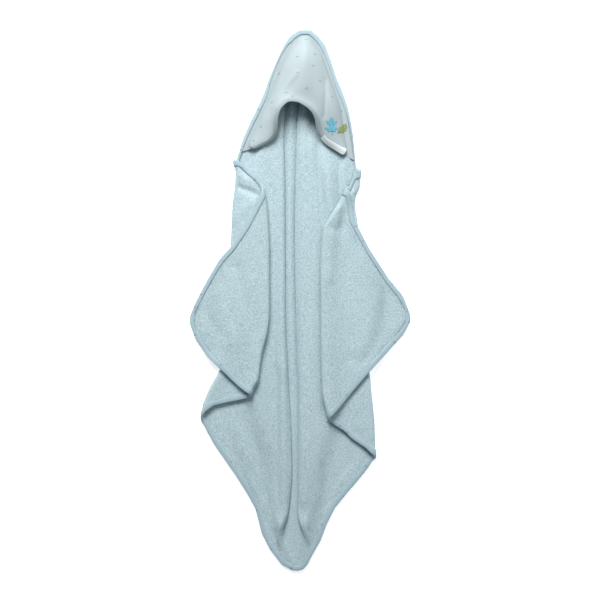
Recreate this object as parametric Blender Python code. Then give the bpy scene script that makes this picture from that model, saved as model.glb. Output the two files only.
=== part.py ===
"""Hooded towel for a baby: one square of terry laid out cornerwise, its two side corners folded in
twice and its middle in an inverted box pleat, with a jersey hood front, bound hems, hood rim and label.

Axes: X across, Y from the bottom corner to the hood, Z up from the surface that it lies on.
All lengths below are millimetres and are scaled to metres when a mesh is made.
"""

from math import cos, pi, sin

import bmesh
import bpy
import numpy as np
from mathutils import Matrix

MM = 0.001

# Cloth and sewing
TERRY = 2.4  # thickness of the towel's wall
JERSEY = 2.4  # thickness of the hood front, jersey over terry
TAPE = 1.0  # thickness of the binding's strip
SEAM = 0.3  # gap between two pieces at a seam
TAPE_WIDTH = 9.0  # how far the binding reaches over the cloth on each face
RIM_WIDTH = 7.0  # the same for the hood's open edge
LONGEST_REACH = 16.0  # the most the binding reaches along a column that runs along a hem
FLOOR_MID = TERRY / 2  # height of the wall's middle where it lies on the surface
HEM_LIFT = SEAM + TAPE + 0.05  # the binding under a hem lifts the cloth by this
HEM_FLAT = 17.0  # the cloth stays lifted this far from its hem
HEM_RAMP = 24.0  # and then comes down over this length

# Pleats and folds
TURN = 2.0  # radius of the wall's middle at the pleat's turns
LAYER = 6.4  # distance between the middles of two layers, away from the folds
SETTLE = 34.0  # how far from a fold its puffed edge settles
DROP = 52.0  # length over which a flap comes down to the surface outside the layers
LAP_CLEAR = 5.0  # the panel over a lap stays up this far past the lap's turn
LAP_SLOPE = 40.0  # and then comes down over this length

# The hood
HOOD_HEIGHT = 46.0  # rise of the hood front over its seam
HOOD_SIDE = 46.0  # length over which it rises from a seam
HOOD_FLAT = 10.0  # flat seam allowance under the binding
HOOD_INSET = 0.6  # hood front's edge, inside the line of the towel's hem
HOOD_OVER = (TERRY + JERSEY) / 2 + SEAM  # middle of the hood front over that of the towel at their seam
HOOD_CLEAR = 6.5  # middle of the hood front over the middle of the cloth that it lies on
LIP_BLEND = 3.0  # power with which the opening's heights take over

# Grid sizes
ROWS = 24
ROW_BUNCH = 0.6  # how much closer the rows are at the hems
BAND_COLUMNS = (0.0, 0.16, 0.3)
LAP_COLUMNS = (0.38, 0.45)
LAP_TURN_COLUMNS = (0.50, 0.55, 0.60)
UNDER_COLUMNS = (0.80,)
EDGE_TURN_COLUMNS = (0.87, 0.94, 1.0)
PANEL_COLUMNS = (1.08, 1.18, 1.32, 1.48, 1.64, 1.80)
FOLD_COLUMNS = (0.25, 0.5, 0.75, 1.0)
MIDDLE_COLUMNS = (3.25, 3.6, 4.0)
FLAP_COLUMNS = (5.1, 5.24, 5.4, 5.56, 5.7, 5.84, 5.94, 6.0)
RIM_COLUMNS = (2, 24)  # first and last hood column of the rim
LABEL_COLUMNS = (20, 24)  # and of the label on it
LABEL_WIDTH = 11.0  # how far the label reaches in from the hood's open edge
LABEL_LIFT = JERSEY / 2 + SEAM + TAPE + SEAM + TAPE / 2  # its middle over the hood front's, past the rim
END = 6.0  # column of the side corner

# The towel's corner under the hood and the opposite one
TIP_Y = 508.5
FOOT_Y = -509.5


def curve(*rows):
    """A smooth function through (y, value) rows, held constant past its ends."""
    table = np.array(sorted(rows), float)
    y, v = table[:, 0], table[:, 1]
    step = np.diff(v) / np.diff(y)
    slope = np.zeros(len(y))
    same = step[:-1] * step[1:] > 0
    slope[1:-1][same] = 2 * step[:-1][same] * step[1:][same] / (step[:-1] + step[1:])[same]

    def value(at):
        if at <= y[0]:
            return v[0]
        if at >= y[-1]:
            return v[-1]
        i = int(np.searchsorted(y, at)) - 1
        h = y[i + 1] - y[i]
        t = (at - y[i]) / h
        return (
            v[i] * (1 + 2 * t) * (1 - t) ** 2
            + v[i + 1] * t * t * (3 - 2 * t)
            + h * slope[i] * t * (1 - t) ** 2
            - h * slope[i + 1] * t * t * (1 - t)
        )

    return value


class Line:
    """A hem or a fold: x along y, by straight steps between its (y, x) rows."""

    def __init__(self, *rows):
        self.y, self.x = np.array(sorted(rows), float).T

    def __call__(self, y):
        return float(np.interp(y, self.y, self.x))

    def distance(self, x, y):
        """From a point of the plan to the nearest point of the line."""
        start = np.stack([self.x[:-1], self.y[:-1]], 1)
        step = np.stack([np.diff(self.x), np.diff(self.y)], 1)
        away = np.array((x, y)) - start
        part = np.clip((away * step).sum(1) / (step * step).sum(1), 0, 1)
        return float(np.linalg.norm(away - step * part[:, None], axis=1).min())


def smooth(t):
    t = min(max(t, 0.0), 1.0)
    return t * t * (3 - 2 * t)


# The centre pleat: where its two top edges lie, how far each lap goes under, and how far it is folded
# (1 folded flat, 0 open). Rows are (y, value).
PLEAT_LEFT = curve((508, 6), (430, -14), (367, -27), (320, -31), (240, -29), (-57, -27), (-113, -24),
                   (-172, -21), (-245, -17.5), (-321, -15.5), (-392, -21), (-434, -24), (-509, -10))
PLEAT_RIGHT = curve((508, 15), (430, 4), (367, -2), (283, -5), (123, -8), (-57, -5), (-187, -2),
                    (-434, -2.5), (-509, 4))
SIDES = {
    -1: dict(
        lap=curve((345, 1.5), (280, 26), (200, 46), (100, 52), (-180, 48), (-330, 8), (-400, 2)),
        folded=curve((425, 0), (400, 0.35), (372, 0.75), (340, 1), (-385, 1), (-480, 0)),
        hood_corner=278,
        # outer fold (towel to middle layer) and inner fold (middle layer to flap)
        outer=Line((260, -123), (241, -119), (208, -121.5), (181, -125.5), (113, -128.3), (0, -131),
                   (-94, -138), (-136, -151), (-166, -169), (-196, -181), (-217, -184)),
        inner=Line((211, -70), (190, -63.5), (166, -61), (104, -57.6), (-28, -57), (-60, -61),
                   (-100, -71.5), (-151, -78.5), (-181, -94)),
        outer_puff=curve((275, 10), (230, 10), (150, 9), (-100, 9), (-215, 12)),
        inner_puff=curve((215, 12), (150, 10), (-140, 10), (-180, 11)),
        corner=-205.5,
        top_hem=Line((508.5, 10.4), (507.6, -1), (496, -18), (479, -29), (462, -37), (453, -41),
                     (423, -54), (392, -65), (362, -78), (332, -93), (302, -106), (280, -112.5),
                     (262, -118.5), (256, -121)),
        middle_top=Line((263, -119), (256, -106.6), (241, -90), (229, -77.5), (219, -69)),
        flap_top=Line((205, -68), (179, -80), (145, -97), (123, -112), (103, -125.5), (75, -150),
                      (30, -177), (-9, -197), (-25, -204), (-36, -206.6)),
        flap_bottom=Line((-37, -207.5), (-52, -203.5), (-75, -194), (-106, -172.5), (-151, -126),
                         (-162, -114), (-176, -94), (-180, -88)),
        middle_bottom=Line((-214, -184), (-209, -178), (-198, -163), (-191, -131), (-186, -107),
                           (-182, -90)),
        bottom_hem=Line((-509.5, -3), (-508.5, -14), (-498, -33), (-468, -55.7), (-438, -70.8),
                        (-392.5, -82), (-362, -99), (-332, -118), (-302, -138.7), (-272, -159.5),
                        (-241.5, -176.4), (-222, -184)),
    ),
    1: dict(
        lap=curve((345, 1.5), (280, 26), (200, 44), (100, 46), (-180, 46), (-350, 8), (-410, 2)),
        folded=curve((425, 0), (400, 0.35), (372, 0.75), (340, 1), (-395, 1), (-470, 0)),
        hood_corner=262,
        outer=Line((250, 113.5), (240, 114), (211, 112), (196, 105), (181, 103), (136, 110), (75, 118),
                   (0, 121.7), (-94, 127.5), (-136, 131), (-225, 140), (-287, 142)),
        inner=Line((205, 88), (192, 79), (173, 67.5), (157, 57.5), (140, 48.5), (124, 44), (79, 39.6),
                   (-120, 41), (-179, 43.5), (-215, 52), (-232, 60)),
        outer_puff=curve((262, 13), (235, 14), (205, 13), (180, 10), (-100, 9), (-290, 12)),
        inner_puff=curve((215, 13), (150, 11), (-180, 10), (-225, 12)),
        corner=207.5,
        top_hem=Line((508.5, 10.4), (507.6, 21.7), (496, 35), (479, 48), (462, 54), (453, 57.6),
                     (423, 67), (392, 80), (362, 90), (332, 96.5), (302, 101), (275, 103), (262, 104),
                     (246, 106), (236, 110)),
        middle_top=Line((246, 109.5), (232, 102), (215, 95), (200, 86)),
        flap_top=Line((212, 86), (204, 93.5), (186, 97), (170, 98.5), (151, 102), (128, 114), (96, 130),
                      (40, 167), (9, 193), (-16, 205), (-32, 208.5)),
        flap_bottom=Line((-35, 209.5), (-50, 203.5), (-66, 193.4), (-132, 133), (-179, 93), (-200, 76),
                         (-216, 61.3), (-222, 55)),
        middle_bottom=Line((-294, 142), (-286, 133.6), (-278, 126.4), (-268, 110), (-258, 96.6),
                           (-245, 84), (-240, 74), (-232, 63), (-228, 54), (-215, 40)),
        bottom_hem=Line((-509.5, -3), (-507, 6), (-498, 14.2), (-483, 21.7), (-453, 38.7), (-423, 50),
                        (-392.5, 65), (-362, 89.6), (-347, 102.8), (-317, 127.4), (-302, 136.8),
                        (-288, 142)),
    ),
}

# Creases of the towel's own layer, x along y, and its soft crowns between them: side, the crease or pleat
# on each hand, and the height along y.
CREASE_LEFT = curve((400, -50), (-500, -42))
OUTER_LEFT = curve((300, -112), (-500, -150))
CREASE_RIGHT = curve((328, 21.7), (302, 35), (223, 37), (145, 44))
OUTER_RIGHT = curve((270, 82), (241, 76), (190, 78))
CROWNS = (
    (-1, CREASE_LEFT, PLEAT_LEFT, curve((380, 0), (200, 2), (-60, 3), (-200, 5), (-430, 2))),
    (-1, OUTER_LEFT, CREASE_LEFT, curve((380, 0), (150, 3), (-300, 3), (-420, 0))),
    (1, PLEAT_RIGHT, CREASE_RIGHT, curve((380, 2), (250, 5), (100, 6), (-300, 5), (-430, 2))),
    (1, CREASE_RIGHT, OUTER_RIGHT, curve((340, 1), (240, 5), (140, 2), (90, 0))),
)
BAND_CROWN = curve((455, 0), (410, 2), (340, 7), (100, 7), (-100, 4), (-200, 0))


def pleat_at(side, q, y):
    """(x, z) of the wall's middle in the centre pleat, for column q from 0, its centre, to 1, its top edge.
    The wall runs out as the band, turns back over as the lap and turns out again as the panel's edge."""
    shape = SIDES[side]
    centre = (PLEAT_LEFT(y) + PLEAT_RIGHT(y)) / 2
    half = (PLEAT_RIGHT(y) - PLEAT_LEFT(y)) / 2 + TURN
    lap = shape["lap"](y)
    bend = pi * shape["folded"](y)
    knots = (0.3, 0.45, 0.6, 0.8, 1.0)
    runs = ((half, 0, 0), (lap, 0, 0), (pi * TURN, 0, bend), (lap, bend, bend), (pi * TURN, bend, 0))
    x = z = start = 0.0
    for knot, (length, turn_from, turn_to) in zip(knots, runs):
        part = min(max((q - start) / (knot - start), 0.0), 1.0)
        run = length * part
        turn_end = turn_from + (turn_to - turn_from) * part
        if abs(turn_end - turn_from) < 1e-6:
            x += run * cos(turn_from)
            z += run * sin(turn_from)
        else:
            x += run * (sin(turn_end) - sin(turn_from)) / (turn_end - turn_from)
            z += run * (cos(turn_from) - cos(turn_end)) / (turn_end - turn_from)
        start = knot
        if q <= knot:
            break
    if q < 0.3:
        z += BAND_CROWN(y) * cos(pi / 2 * q / 0.3) ** 2
    return centre + side * x, FLOOR_MID + z


def panel_height(side, x, y):
    """Height of the towel's own layer outside the pleat, without the lift of its hem."""
    shape = SIDES[side]
    edge_x, edge_z = pleat_at(side, 1.0, y)
    lap_end, _ = pleat_at(side, 0.525, y)
    high_to = max(side * lap_end, side * edge_x) + LAP_CLEAR
    rise = (edge_z - FLOOR_MID) * (1 - smooth((side * x - high_to) / LAP_SLOPE))
    crowned = 0.0
    for crown_side, crease_from, crease_to, crown in CROWNS:
        at, to = crease_from(y), crease_to(y)
        if crown_side == side and at < x < to:
            crowned += crown(y) * sin(pi * (x - at) / (to - at)) ** 0.8
    near = min(shape["top_hem"].distance(x, y), shape["bottom_hem"].distance(x, y))
    outside = side * (x - edge_x)
    settled = smooth((near - HEM_FLAT) / HEM_RAMP)
    held = settled + (1 - settled) * (1 - smooth(outside / LAP_CLEAR))
    return FLOOR_MID + crowned * settled + rise * held


def layer_heights(side, x, y):
    """Heights of the towel, the middle layer and the flap over one point."""
    shape = SIDES[side]
    low = panel_height(side, x, y)
    from_outer = abs(shape["outer"](y) - x)
    from_inner = abs(shape["inner"](y) - x)
    outer_puff = shape["outer_puff"](y)
    inner_puff = shape["inner_puff"](y)
    middle = low + LAYER + (outer_puff - LAYER) * (1 - smooth(from_outer / SETTLE))
    top = middle + LAYER + (inner_puff - LAYER) * (1 - smooth(from_inner / SETTLE))
    return low, middle, top


def across_x(side, q, y):
    """x of the wall's middle at column q of one side: 0-1 pleat, 1-2 towel, 2-3 outer fold,
    3-4 middle layer, 4-5 inner fold, 5-6 flap."""
    shape = SIDES[side]
    if q <= 1:
        return pleat_at(side, q, y)[0]
    outer_turn = shape["outer_puff"](y) / 2
    inner_turn = shape["inner_puff"](y) / 2
    outer_x = shape["outer"](y) - side * outer_turn
    inner_x = shape["inner"](y) + side * inner_turn
    if q <= 2:
        edge_x = pleat_at(side, 1.0, y)[0]
        return edge_x + (outer_x - edge_x) * (q - 1)
    if q <= 3:
        return outer_x + side * outer_turn * sin(pi * (q - 2))
    if q <= 4:
        return outer_x + (inner_x - outer_x) * (q - 3)
    if q <= 5:
        return inner_x - side * inner_turn * sin(pi * (q - 4))
    return inner_x + (shape["corner"] - inner_x) * (q - 5)


def across(side, q, y):
    """(x, z) of the wall's middle at column q."""
    shape = SIDES[side]
    x = across_x(side, q, y)
    if q <= 1:
        return pleat_at(side, q, y)
    if q <= 2:
        return x, panel_height(side, x, y)
    if q <= 3:
        low, middle, _ = layer_heights(side, across_x(side, 2, y), y)
        return x, low + (middle - low) / 2 * (1 - cos(pi * (q - 2)))
    if q <= 4:
        return x, layer_heights(side, x, y)[1]
    if q <= 5:
        _, middle, top = layer_heights(side, across_x(side, 4, y), y)
        return x, middle + (top - middle) / 2 * (1 - cos(pi * (q - 4)))
    fold_x = shape["outer"](y)
    outside = side * (x - fold_x)
    high = layer_heights(side, fold_x if outside > 0 else x, y)[2]
    return x, high + (FLOOR_MID - high) * smooth(outside / DROP)


def halving(holds, low, high):
    """Where a condition that holds at low stops holding, on the way to high."""
    for _ in range(30):
        middle = (low + high) / 2
        if holds(middle):
            low = middle
        else:
            high = middle
    return high


def crossing(side, q, hem, high, low):
    """The y where column q meets a hem given as x along y, between two heights."""
    flip = side * (across_x(side, q, high) - hem(high)) > 0
    for _ in range(40):
        y = (high + low) / 2
        if (side * (across_x(side, q, y) - hem(y)) > 0) == flip:
            high = y
        else:
            low = y
    return (high + low) / 2


ENDS = {}


def ends(side, q):
    """The y of column q at its upper and at its lower hem."""
    key = (side, round(q, 6))
    if key not in ENDS:
        shape = SIDES[side]
        if q == 0:
            found = TIP_Y, FOOT_Y
        elif q <= 2:
            found = (
                crossing(side, q, shape["top_hem"], TIP_Y, 248),
                crossing(side, q, shape["bottom_hem"], -200, FOOT_Y),
            )
        elif 3 <= q <= 4:
            found = (
                crossing(side, q, shape["middle_top"], 266, 200),
                crossing(side, q, shape["middle_bottom"], -180, -300),
            )
        elif q >= 5:
            found = (
                crossing(side, q, shape["flap_top"], 206, -36),
                crossing(side, q, shape["flap_bottom"], -36.5, -222),
            )
        else:
            before, after = ends(side, float(int(q))), ends(side, float(int(q) + 1))
            part = q - int(q)
            found = tuple(b + (a - b) * part for b, a in zip(before, after))
        ENDS[key] = found
    return ENDS[key]


def towel_at(side, q, t):
    """A point of the wall's middle: column q, and t from its upper hem (0) to its lower hem (1)."""
    top, bottom = ends(side, q)
    y = top + (bottom - top) * t
    x, z = across(side, q, y)
    return np.array((x, y, z + hem_lift(side, q, x, y, z)))


def hem_lift(side, q, x, y, z):
    """How much the binding holds the cloth off the surface: near the hems of what lies on it."""
    shape = SIDES[side]
    if 3 <= q <= 5:
        return 0.0
    hems = (shape["top_hem"], shape["bottom_hem"]) if q < 3 else (shape["flap_top"], shape["flap_bottom"])
    near = min(hem.distance(x, y) for hem in hems)
    share = min(1.0, 3 - q) if q < 3 else 1 - smooth((z - FLOOR_MID) / (2 * HEM_LIFT))
    return HEM_LIFT * share * (1 - smooth((near - HEM_FLAT) / HEM_RAMP))


def hood_corner_column(side):
    """The column that meets the upper hem at the hood's corner."""
    low, high = 1.8, 2.0
    for _ in range(30):
        q = (low + high) / 2
        if crossing(side, q, SIDES[side]["top_hem"], TIP_Y, 248) > SIDES[side]["hood_corner"]:
            low = q
        else:
            high = q
    return low


def side_columns(side):
    """The columns of one side, from the pleat's centre out to the corner."""
    outer = [2 + f for f in FOLD_COLUMNS]
    inner = [4 + f for f in FOLD_COLUMNS]
    columns = [*BAND_COLUMNS, *LAP_COLUMNS, *LAP_TURN_COLUMNS, *UNDER_COLUMNS, *EDGE_TURN_COLUMNS]
    columns += [*PANEL_COLUMNS, HOOD_CORNERS[side], 2.0]
    return columns + [*outer, *MIDDLE_COLUMNS, *inner, *FLAP_COLUMNS]


def towel_columns():
    """All columns from the left corner to the right one: below 0 on the left, above 0 on the right."""
    return np.array([-q for q in reversed(side_columns(-1))] + side_columns(1)[1:])


def side_of(s):
    return 1 if s > 0 else -1


REACH = {}
LAYER_HEMS = (  # last column of each layer, and its two hems
    (2, ("top_hem", "bottom_hem")),
    (4, ("middle_top", "middle_bottom")),
    (END, ("flap_top", "flap_bottom")),
)


def strip_reach(side, q):
    """How far the binding's inner edge lies along column q, from its upper hem and from its lower one."""
    key = (side, round(q, 6))
    if key in REACH:
        return REACH[key]
    shape = SIDES[side]
    top, bottom = ends(side, q)
    if 2 < q < 3 or 4 < q < 5:
        before, after = strip_reach(side, float(int(q))), strip_reach(side, float(int(q) + 1))
        part = q - int(q)
        found = tuple(b + (a - b) * part for b, a in zip(before, after))
    else:
        upper, lower = next(hems for limit, hems in LAYER_HEMS if q <= limit)
        found = []
        for hem, start, way in ((shape[upper], top, -1), (shape[lower], bottom, 1)):
            low, high = 0.0, min(0.4 * (top - bottom), LONGEST_REACH)
            for _ in range(24):
                reach = (low + high) / 2
                y = start + way * reach
                if hem.distance(across_x(side, q, y), y) < TAPE_WIDTH:
                    low = reach
                else:
                    high = reach
            found.append(max(high, 0.5))
        found = tuple(found)
    REACH[key] = found
    return found


def column_rows(side, q):
    """t of each row of a column: its hems, the binding's inner edges, and an even spread between those,
    a little closer at the ends."""
    top, bottom = ends(side, q)
    upper, lower = (reach / (top - bottom) for reach in strip_reach(side, q))
    even = np.linspace(0, 1, ROWS - 2)
    even = even - ROW_BUNCH * np.sin(2 * pi * even) / (2 * pi)
    return [0.0, *(upper + (1 - lower - upper) * even), 1.0]


def grid_normals(points):
    """Unit normals of a grid of points, up where rows run down the page and columns to the right."""
    along = np.gradient(points, axis=1)
    down = np.gradient(points, axis=0)
    normals = np.cross(down, along)
    return normals / np.linalg.norm(normals, axis=2, keepdims=True)


def new_object(name, points, faces, material):
    """An object with this mesh, its faces turned outwards."""
    mesh = bpy.data.meshes.new(name)
    mesh.from_pydata([tuple(float(c) * MM for c in p) for p in points], [], faces)
    mesh.materials.append(material)
    shell = bmesh.new()
    shell.from_mesh(mesh)
    bmesh.ops.remove_doubles(shell, verts=shell.verts, dist=0.001 * MM)
    bmesh.ops.recalc_face_normals(shell, faces=shell.faces)
    shell.to_mesh(mesh)
    shell.free()
    made = bpy.data.objects.new(name, mesh)
    bpy.context.scene.collection.objects.link(made)
    return made


def wall(name, points, normals, thickness, material, lift=0.0):
    """A closed wall from a grid of middle points: its two faces and the four edges. Every cell is split
    between its first point and the one opposite, so that what is moved out from it keeps its distance."""
    rows, columns = points.shape[:2]
    upper = (points + normals * (lift + thickness / 2)).reshape(-1, 3)
    lower = (points + normals * (lift - thickness / 2)).reshape(-1, 3)
    count = rows * columns
    faces = []
    for r in range(rows - 1):
        for c in range(columns - 1):
            a, b = r * columns + c, r * columns + c + 1
            d, e = a + columns, b + columns
            faces += [(a, d, e), (a, e, b)]
            faces += [(count + a, count + e, count + d), (count + a, count + b, count + e)]
    loop = list(range(columns))
    loop += [r * columns + columns - 1 for r in range(1, rows)]
    loop += [(rows - 1) * columns + c for c in range(columns - 2, -1, -1)]
    loop += [r * columns for r in range(rows - 2, 0, -1)]
    for a, b in zip(loop, loop[1:] + loop[:1]):
        faces += [(a, b, count + a), (b, count + b, count + a)]
    return new_object(name, [*upper, *lower], faces, material)


def material(name, colour, roughness):
    made = bpy.data.materials.new(name)
    made.use_nodes = True
    shader = made.node_tree.nodes["Principled BSDF"]
    shader.inputs["Base Color"].default_value = (*colour, 1)
    shader.inputs["Roughness"].default_value = roughness
    shader.inputs["Metallic"].default_value = 0.0
    return made


def towel_grid():
    columns = []
    for s in COLUMNS:
        side, q = side_of(s), abs(s)
        columns.append([towel_at(side, q, t) for t in column_rows(side, q)])
    return np.array(columns).swapaxes(0, 1)


def unit(vector):
    return vector / np.linalg.norm(vector)


def fold_over(path, tangent, half, extra=0.0):
    """One section of a strip folded over an edge: out along the upper face, round, and back along the lower
    one, then the same way back inside. path holds (point, normal) of the cloth's middle, from its edge in,
    half is half the cloth's thickness, and extra is what lies on the cloth."""
    edge, normal = path[0]
    out = unit(np.cross(tangent, normal))
    if out @ (edge - path[1][0]) < 0:
        out = -out
    near, far = half + SEAM, half + SEAM + TAPE
    outer = [p + n * (far + extra) for p, n in path[:0:-1]]
    outer += [edge + out * (SEAM + TAPE / 3) + normal * (far + extra)]
    outer += [edge + out * (SEAM + TAPE) + normal * (half * 0.8 + extra)]
    outer += [edge + out * (SEAM + TAPE) - normal * half * 0.8]
    outer += [edge + out * (SEAM + TAPE / 3) - normal * far]
    outer += [p - n * far for p, n in path[1:]]
    inner = [p - n * near for p, n in path[:0:-1]]
    inner += [edge + out * SEAM - normal * near, edge + out * SEAM + normal * (near + extra)]
    inner += [p + n * (near + extra) for p, n in path[1:]]
    return outer + inner


STRIP_END = (0, 1, 8, 9), (1, 2, 3, 8), (3, 4, 7, 8), (4, 5, 6, 7)


def strip(name, sections, closed, material):
    """A solid through a list of sections with the same number of points."""
    size, count = len(sections[0]), len(sections)
    faces = []
    for k in range(count if closed else count - 1):
        a, b = k * size, (k + 1) % count * size
        for i in range(size):
            j = (i + 1) % size
            # split from the edge's point of this section to the inner point of the next one
            if i in (0, size // 2 + 1):
                faces += [(a + i, a + j, b + i), (a + j, b + j, b + i)]
            else:
                faces += [(a + i, a + j, b + j), (a + i, b + j, b + i)]
    if not closed:
        for start in (0, (count - 1) * size):
            faces += [tuple(start + i for i in quad) for quad in STRIP_END]
    return new_object(name, [p for section in sections for p in section], faces, material)


def hem_places():
    """The towel's edge as (row, column) of its grid: along the top, down, back along the bottom, up."""
    rows, columns = ROWS - 1, len(COLUMNS) - 1
    places = [(0, c) for c in range(columns)] + [(r, columns) for r in range(rows)]
    places += [(rows, c) for c in range(columns, 0, -1)] + [(r, 0) for r in range(rows, 0, -1)]
    return places


def under_hood(s):
    """Whether this column's upper hem lies under the hood front."""
    return abs(s) <= HOOD_CORNERS[side_of(s)] + 1e-6


def hem_sections():
    """The binding's sections, each from the towel's own points at its edge and one cell in from it."""
    places = hem_places()
    edge = [TOWEL[place] for place in places]
    sections = []
    for k, (r, c) in enumerate(places):
        tangent = edge[(k + 1) % len(edge)] - edge[k - 1]
        inner = min(max(r, 1), ROWS - 2), min(max(c, 1), len(COLUMNS) - 2)
        path = [(edge[k], NORMALS[r, c]), (TOWEL[inner], NORMALS[inner])]
        extra = JERSEY + SEAM if r == 0 and under_hood(COLUMNS[c]) else 0.0
        sections.append(fold_over(path, tangent, TERRY / 2, extra))
    return sections


# The hood's open edge between its left corner and its right one: (x, y, height)
LIP = (
    (-90, 284.5, 11.5),
    (-72, 291, 15.5),
    (-56, 299, 17.5),
    (-47, 309, 21.5),
    (-42.5, 321, 28.5),
    (-41.5, 334, 37),
    (-40, 347, 44),
    (-35, 360, 49),
    (-25, 370, 51),
    (-12, 374, 52),
    (4, 368, 51),
    (20, 357, 47),
    (29, 345, 41),
    (32, 328, 30),
    (36, 313, 21),
    (48, 298, 16),
    (67, 284.5, 12),
    (88, 271, 9),
)
ARC_COLUMNS = (1.0, 0.94, 0.87, 0.8, 0.6, 0.5, 0.45, 0.38, 0.3, 0.16)  # the towel's, round the hood's tip
HOOD_ROWS = 16
HOOD_WIDTH = 27  # columns of the hood front
HOOD_FIRST = 0.05  # where its second row meets the side seams, as a share of their length
HOOD_LAST = 0.93  # and where its last row but one does
RELAX_STEPS = 300
RELAX_SHARE = 0.8  # how far each step goes
TIP_STEPS = 12  # rounds of evening for the row inside the tip


def along(points, share):
    """The point at this share of a polyline's length."""
    run = np.concatenate([[0], np.cumsum(np.linalg.norm(np.diff(points, axis=0), axis=1))])
    return np.array([np.interp(share * run[-1], run, points[:, k]) for k in range(points.shape[1])])


def beside(points, distance):
    """Plan points moved to the left of their line's way, or to its right if the distance is below 0."""
    step = np.gradient(points, axis=0)
    left = np.stack([-step[:, 1], step[:, 0]], 1)
    return points + left / np.linalg.norm(left, axis=1, keepdims=True) * distance


def hood_edges():
    """The hood front's sewn edges, plan points just inside the towel's hem: left side, tip, right side."""
    find = {round(float(s), 6): k for k, s in enumerate(COLUMNS)}
    middle = find[0.0]
    last_left = find[round(-HOOD_CORNERS[-1], 6)]
    last_right = find[round(HOOD_CORNERS[1], 6)]
    inset = beside(TOWEL[0, :, :2], -HOOD_INSET)
    left = inset[last_left : find[-1.0] + 1][::-1]
    right = inset[find[1.0] : last_right + 1]
    tip = inset[[find[-q] for q in ARC_COLUMNS] + [middle] + [find[q] for q in ARC_COLUMNS[::-1]]]
    return left, tip, right


def from_seam(x, y):
    return min(SIDES[-1]["top_hem"].distance(x, y), SIDES[1]["top_hem"].distance(x, y))


def relax(plan):
    """Even out the points inside a plan grid, those next to its edges held, so that no cell turns over."""
    for _ in range(RELAX_STEPS):
        centre = plan[2:-2, 2:-2]
        right, left = plan[2:-2, 3:-1], plan[2:-2, 1:-3]
        down, up = plan[3:-1, 2:-2], plan[1:-3, 2:-2]
        corners = plan[3:-1, 3:-1] - plan[3:-1, 1:-3] - plan[1:-3, 3:-1] + plan[1:-3, 1:-3]
        over, under = (right - left) / 2, (down - up) / 2
        down_step = (under**2).sum(2, keepdims=True)
        across_step = (over**2).sum(2, keepdims=True)
        mixed = (over * under).sum(2, keepdims=True)
        evened = down_step * (right + left) + across_step * (down + up) - mixed * corners / 2
        plan[2:-2, 2:-2] = centre + (evened / (2 * (down_step + across_step)) - centre) * RELAX_SHARE
    return plan


def hood_grid():
    """The hood front's middle surface: rows from the tip down to the opening, columns left to right."""
    left, tip, right = hood_edges()
    corners = (*left[-1], SEAM_HEIGHT), (*right[-1], SEAM_HEIGHT)
    lip = np.array([corners[0], *LIP, corners[1]])
    first = halving(lambda t: from_seam(*along(lip, t)[:2]) < HOOD_FLAT + HOOD_INSET, 0.0, 0.2)
    last = halving(lambda t: from_seam(*along(lip, 1 - t)[:2]) < HOOD_FLAT + HOOD_INSET, 0.0, 0.2)
    across_shares = [0.0, *np.linspace(first, 1 - last, HOOD_WIDTH - 2), 1.0]
    down_shares = [0.0, *np.linspace(HOOD_FIRST, HOOD_LAST, HOOD_ROWS - 2), 1.0]
    opening = np.array([along(lip, t) for t in across_shares])
    left = np.array([along(left, t) for t in down_shares])
    right = np.array([along(right, t) for t in down_shares])
    tip = np.array([along(tip, t) for t in np.linspace(0, 1, HOOD_WIDTH)])
    plan = np.zeros((HOOD_ROWS, HOOD_WIDTH, 2))
    plan[:, 0], plan[:, -1] = left, right
    plan[:, 1], plan[:, -2] = beside(left, HOOD_FLAT), beside(right, -HOOD_FLAT)
    plan[0], plan[-1] = tip, opening[:, :2]
    plan[1, 1:-1] = beside(tip, -HOOD_FLAT)[1:-1]
    for _ in range(TIP_STEPS):
        plan[1, 2:-2] = (plan[1, 1:-3] + 2 * plan[1, 2:-2] + plan[1, 3:-1]) / 4
    plan[-2, 2:-2] = beside(opening[:, :2], RIM_WIDTH)[2:-2]
    for r in range(2, HOOD_ROWS - 2):
        b = (r - 1) / (HOOD_ROWS - 3)
        for c in range(2, HOOD_WIDTH - 2):
            a = (c - 1) / (HOOD_WIDTH - 3)
            sides = plan[r, 1] * (1 - a) + plan[r, -2] * a
            ends_here = plan[1, c] * (1 - b) + plan[-2, c] * b
            above = plan[1, 1] * (1 - a) + plan[1, -2] * a
            below = plan[-2, 1] * (1 - a) + plan[-2, -2] * a
            plan[r, c] = sides + ends_here - above * (1 - b) - below * b
    plan = relax(plan)
    grid = np.full((HOOD_ROWS, HOOD_WIDTH, 3), SEAM_HEIGHT)
    grid[:, :, :2] = plan
    for r in range(2, HOOD_ROWS):
        for c in range(2, HOOD_WIDTH - 2):
            grid[r, c, 2] = hood_height(*plan[r, c], down_shares[r], opening[c, 2])
    return grid


def hood_height(x, y, b, lip_height):
    """Height of the hood front's middle over a plan point, b of the way from the tip to the opening."""
    side = 1 if x > (PLEAT_LEFT(y) + PLEAT_RIGHT(y)) / 2 else -1
    away = max(from_seam(x, y) - HOOD_FLAT - HOOD_INSET, 0.0)
    height = SEAM_HEIGHT + HOOD_HEIGHT * sin(pi / 2 * min(away / HOOD_SIDE, 1.0))
    height += (lip_height - height) * b**LIP_BLEND * smooth(away / HOOD_FLAT)
    edge_x = pleat_at(side, 1.0, y)[0]
    below = panel_height(side, side * max(side * x, side * edge_x), y)
    return max(height, SEAM_HEIGHT + (below + HOOD_CLEAR - SEAM_HEIGHT) * smooth(away / HOOD_FLAT))


SEAM_HEIGHT = FLOOR_MID + HEM_LIFT + HOOD_OVER


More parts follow.
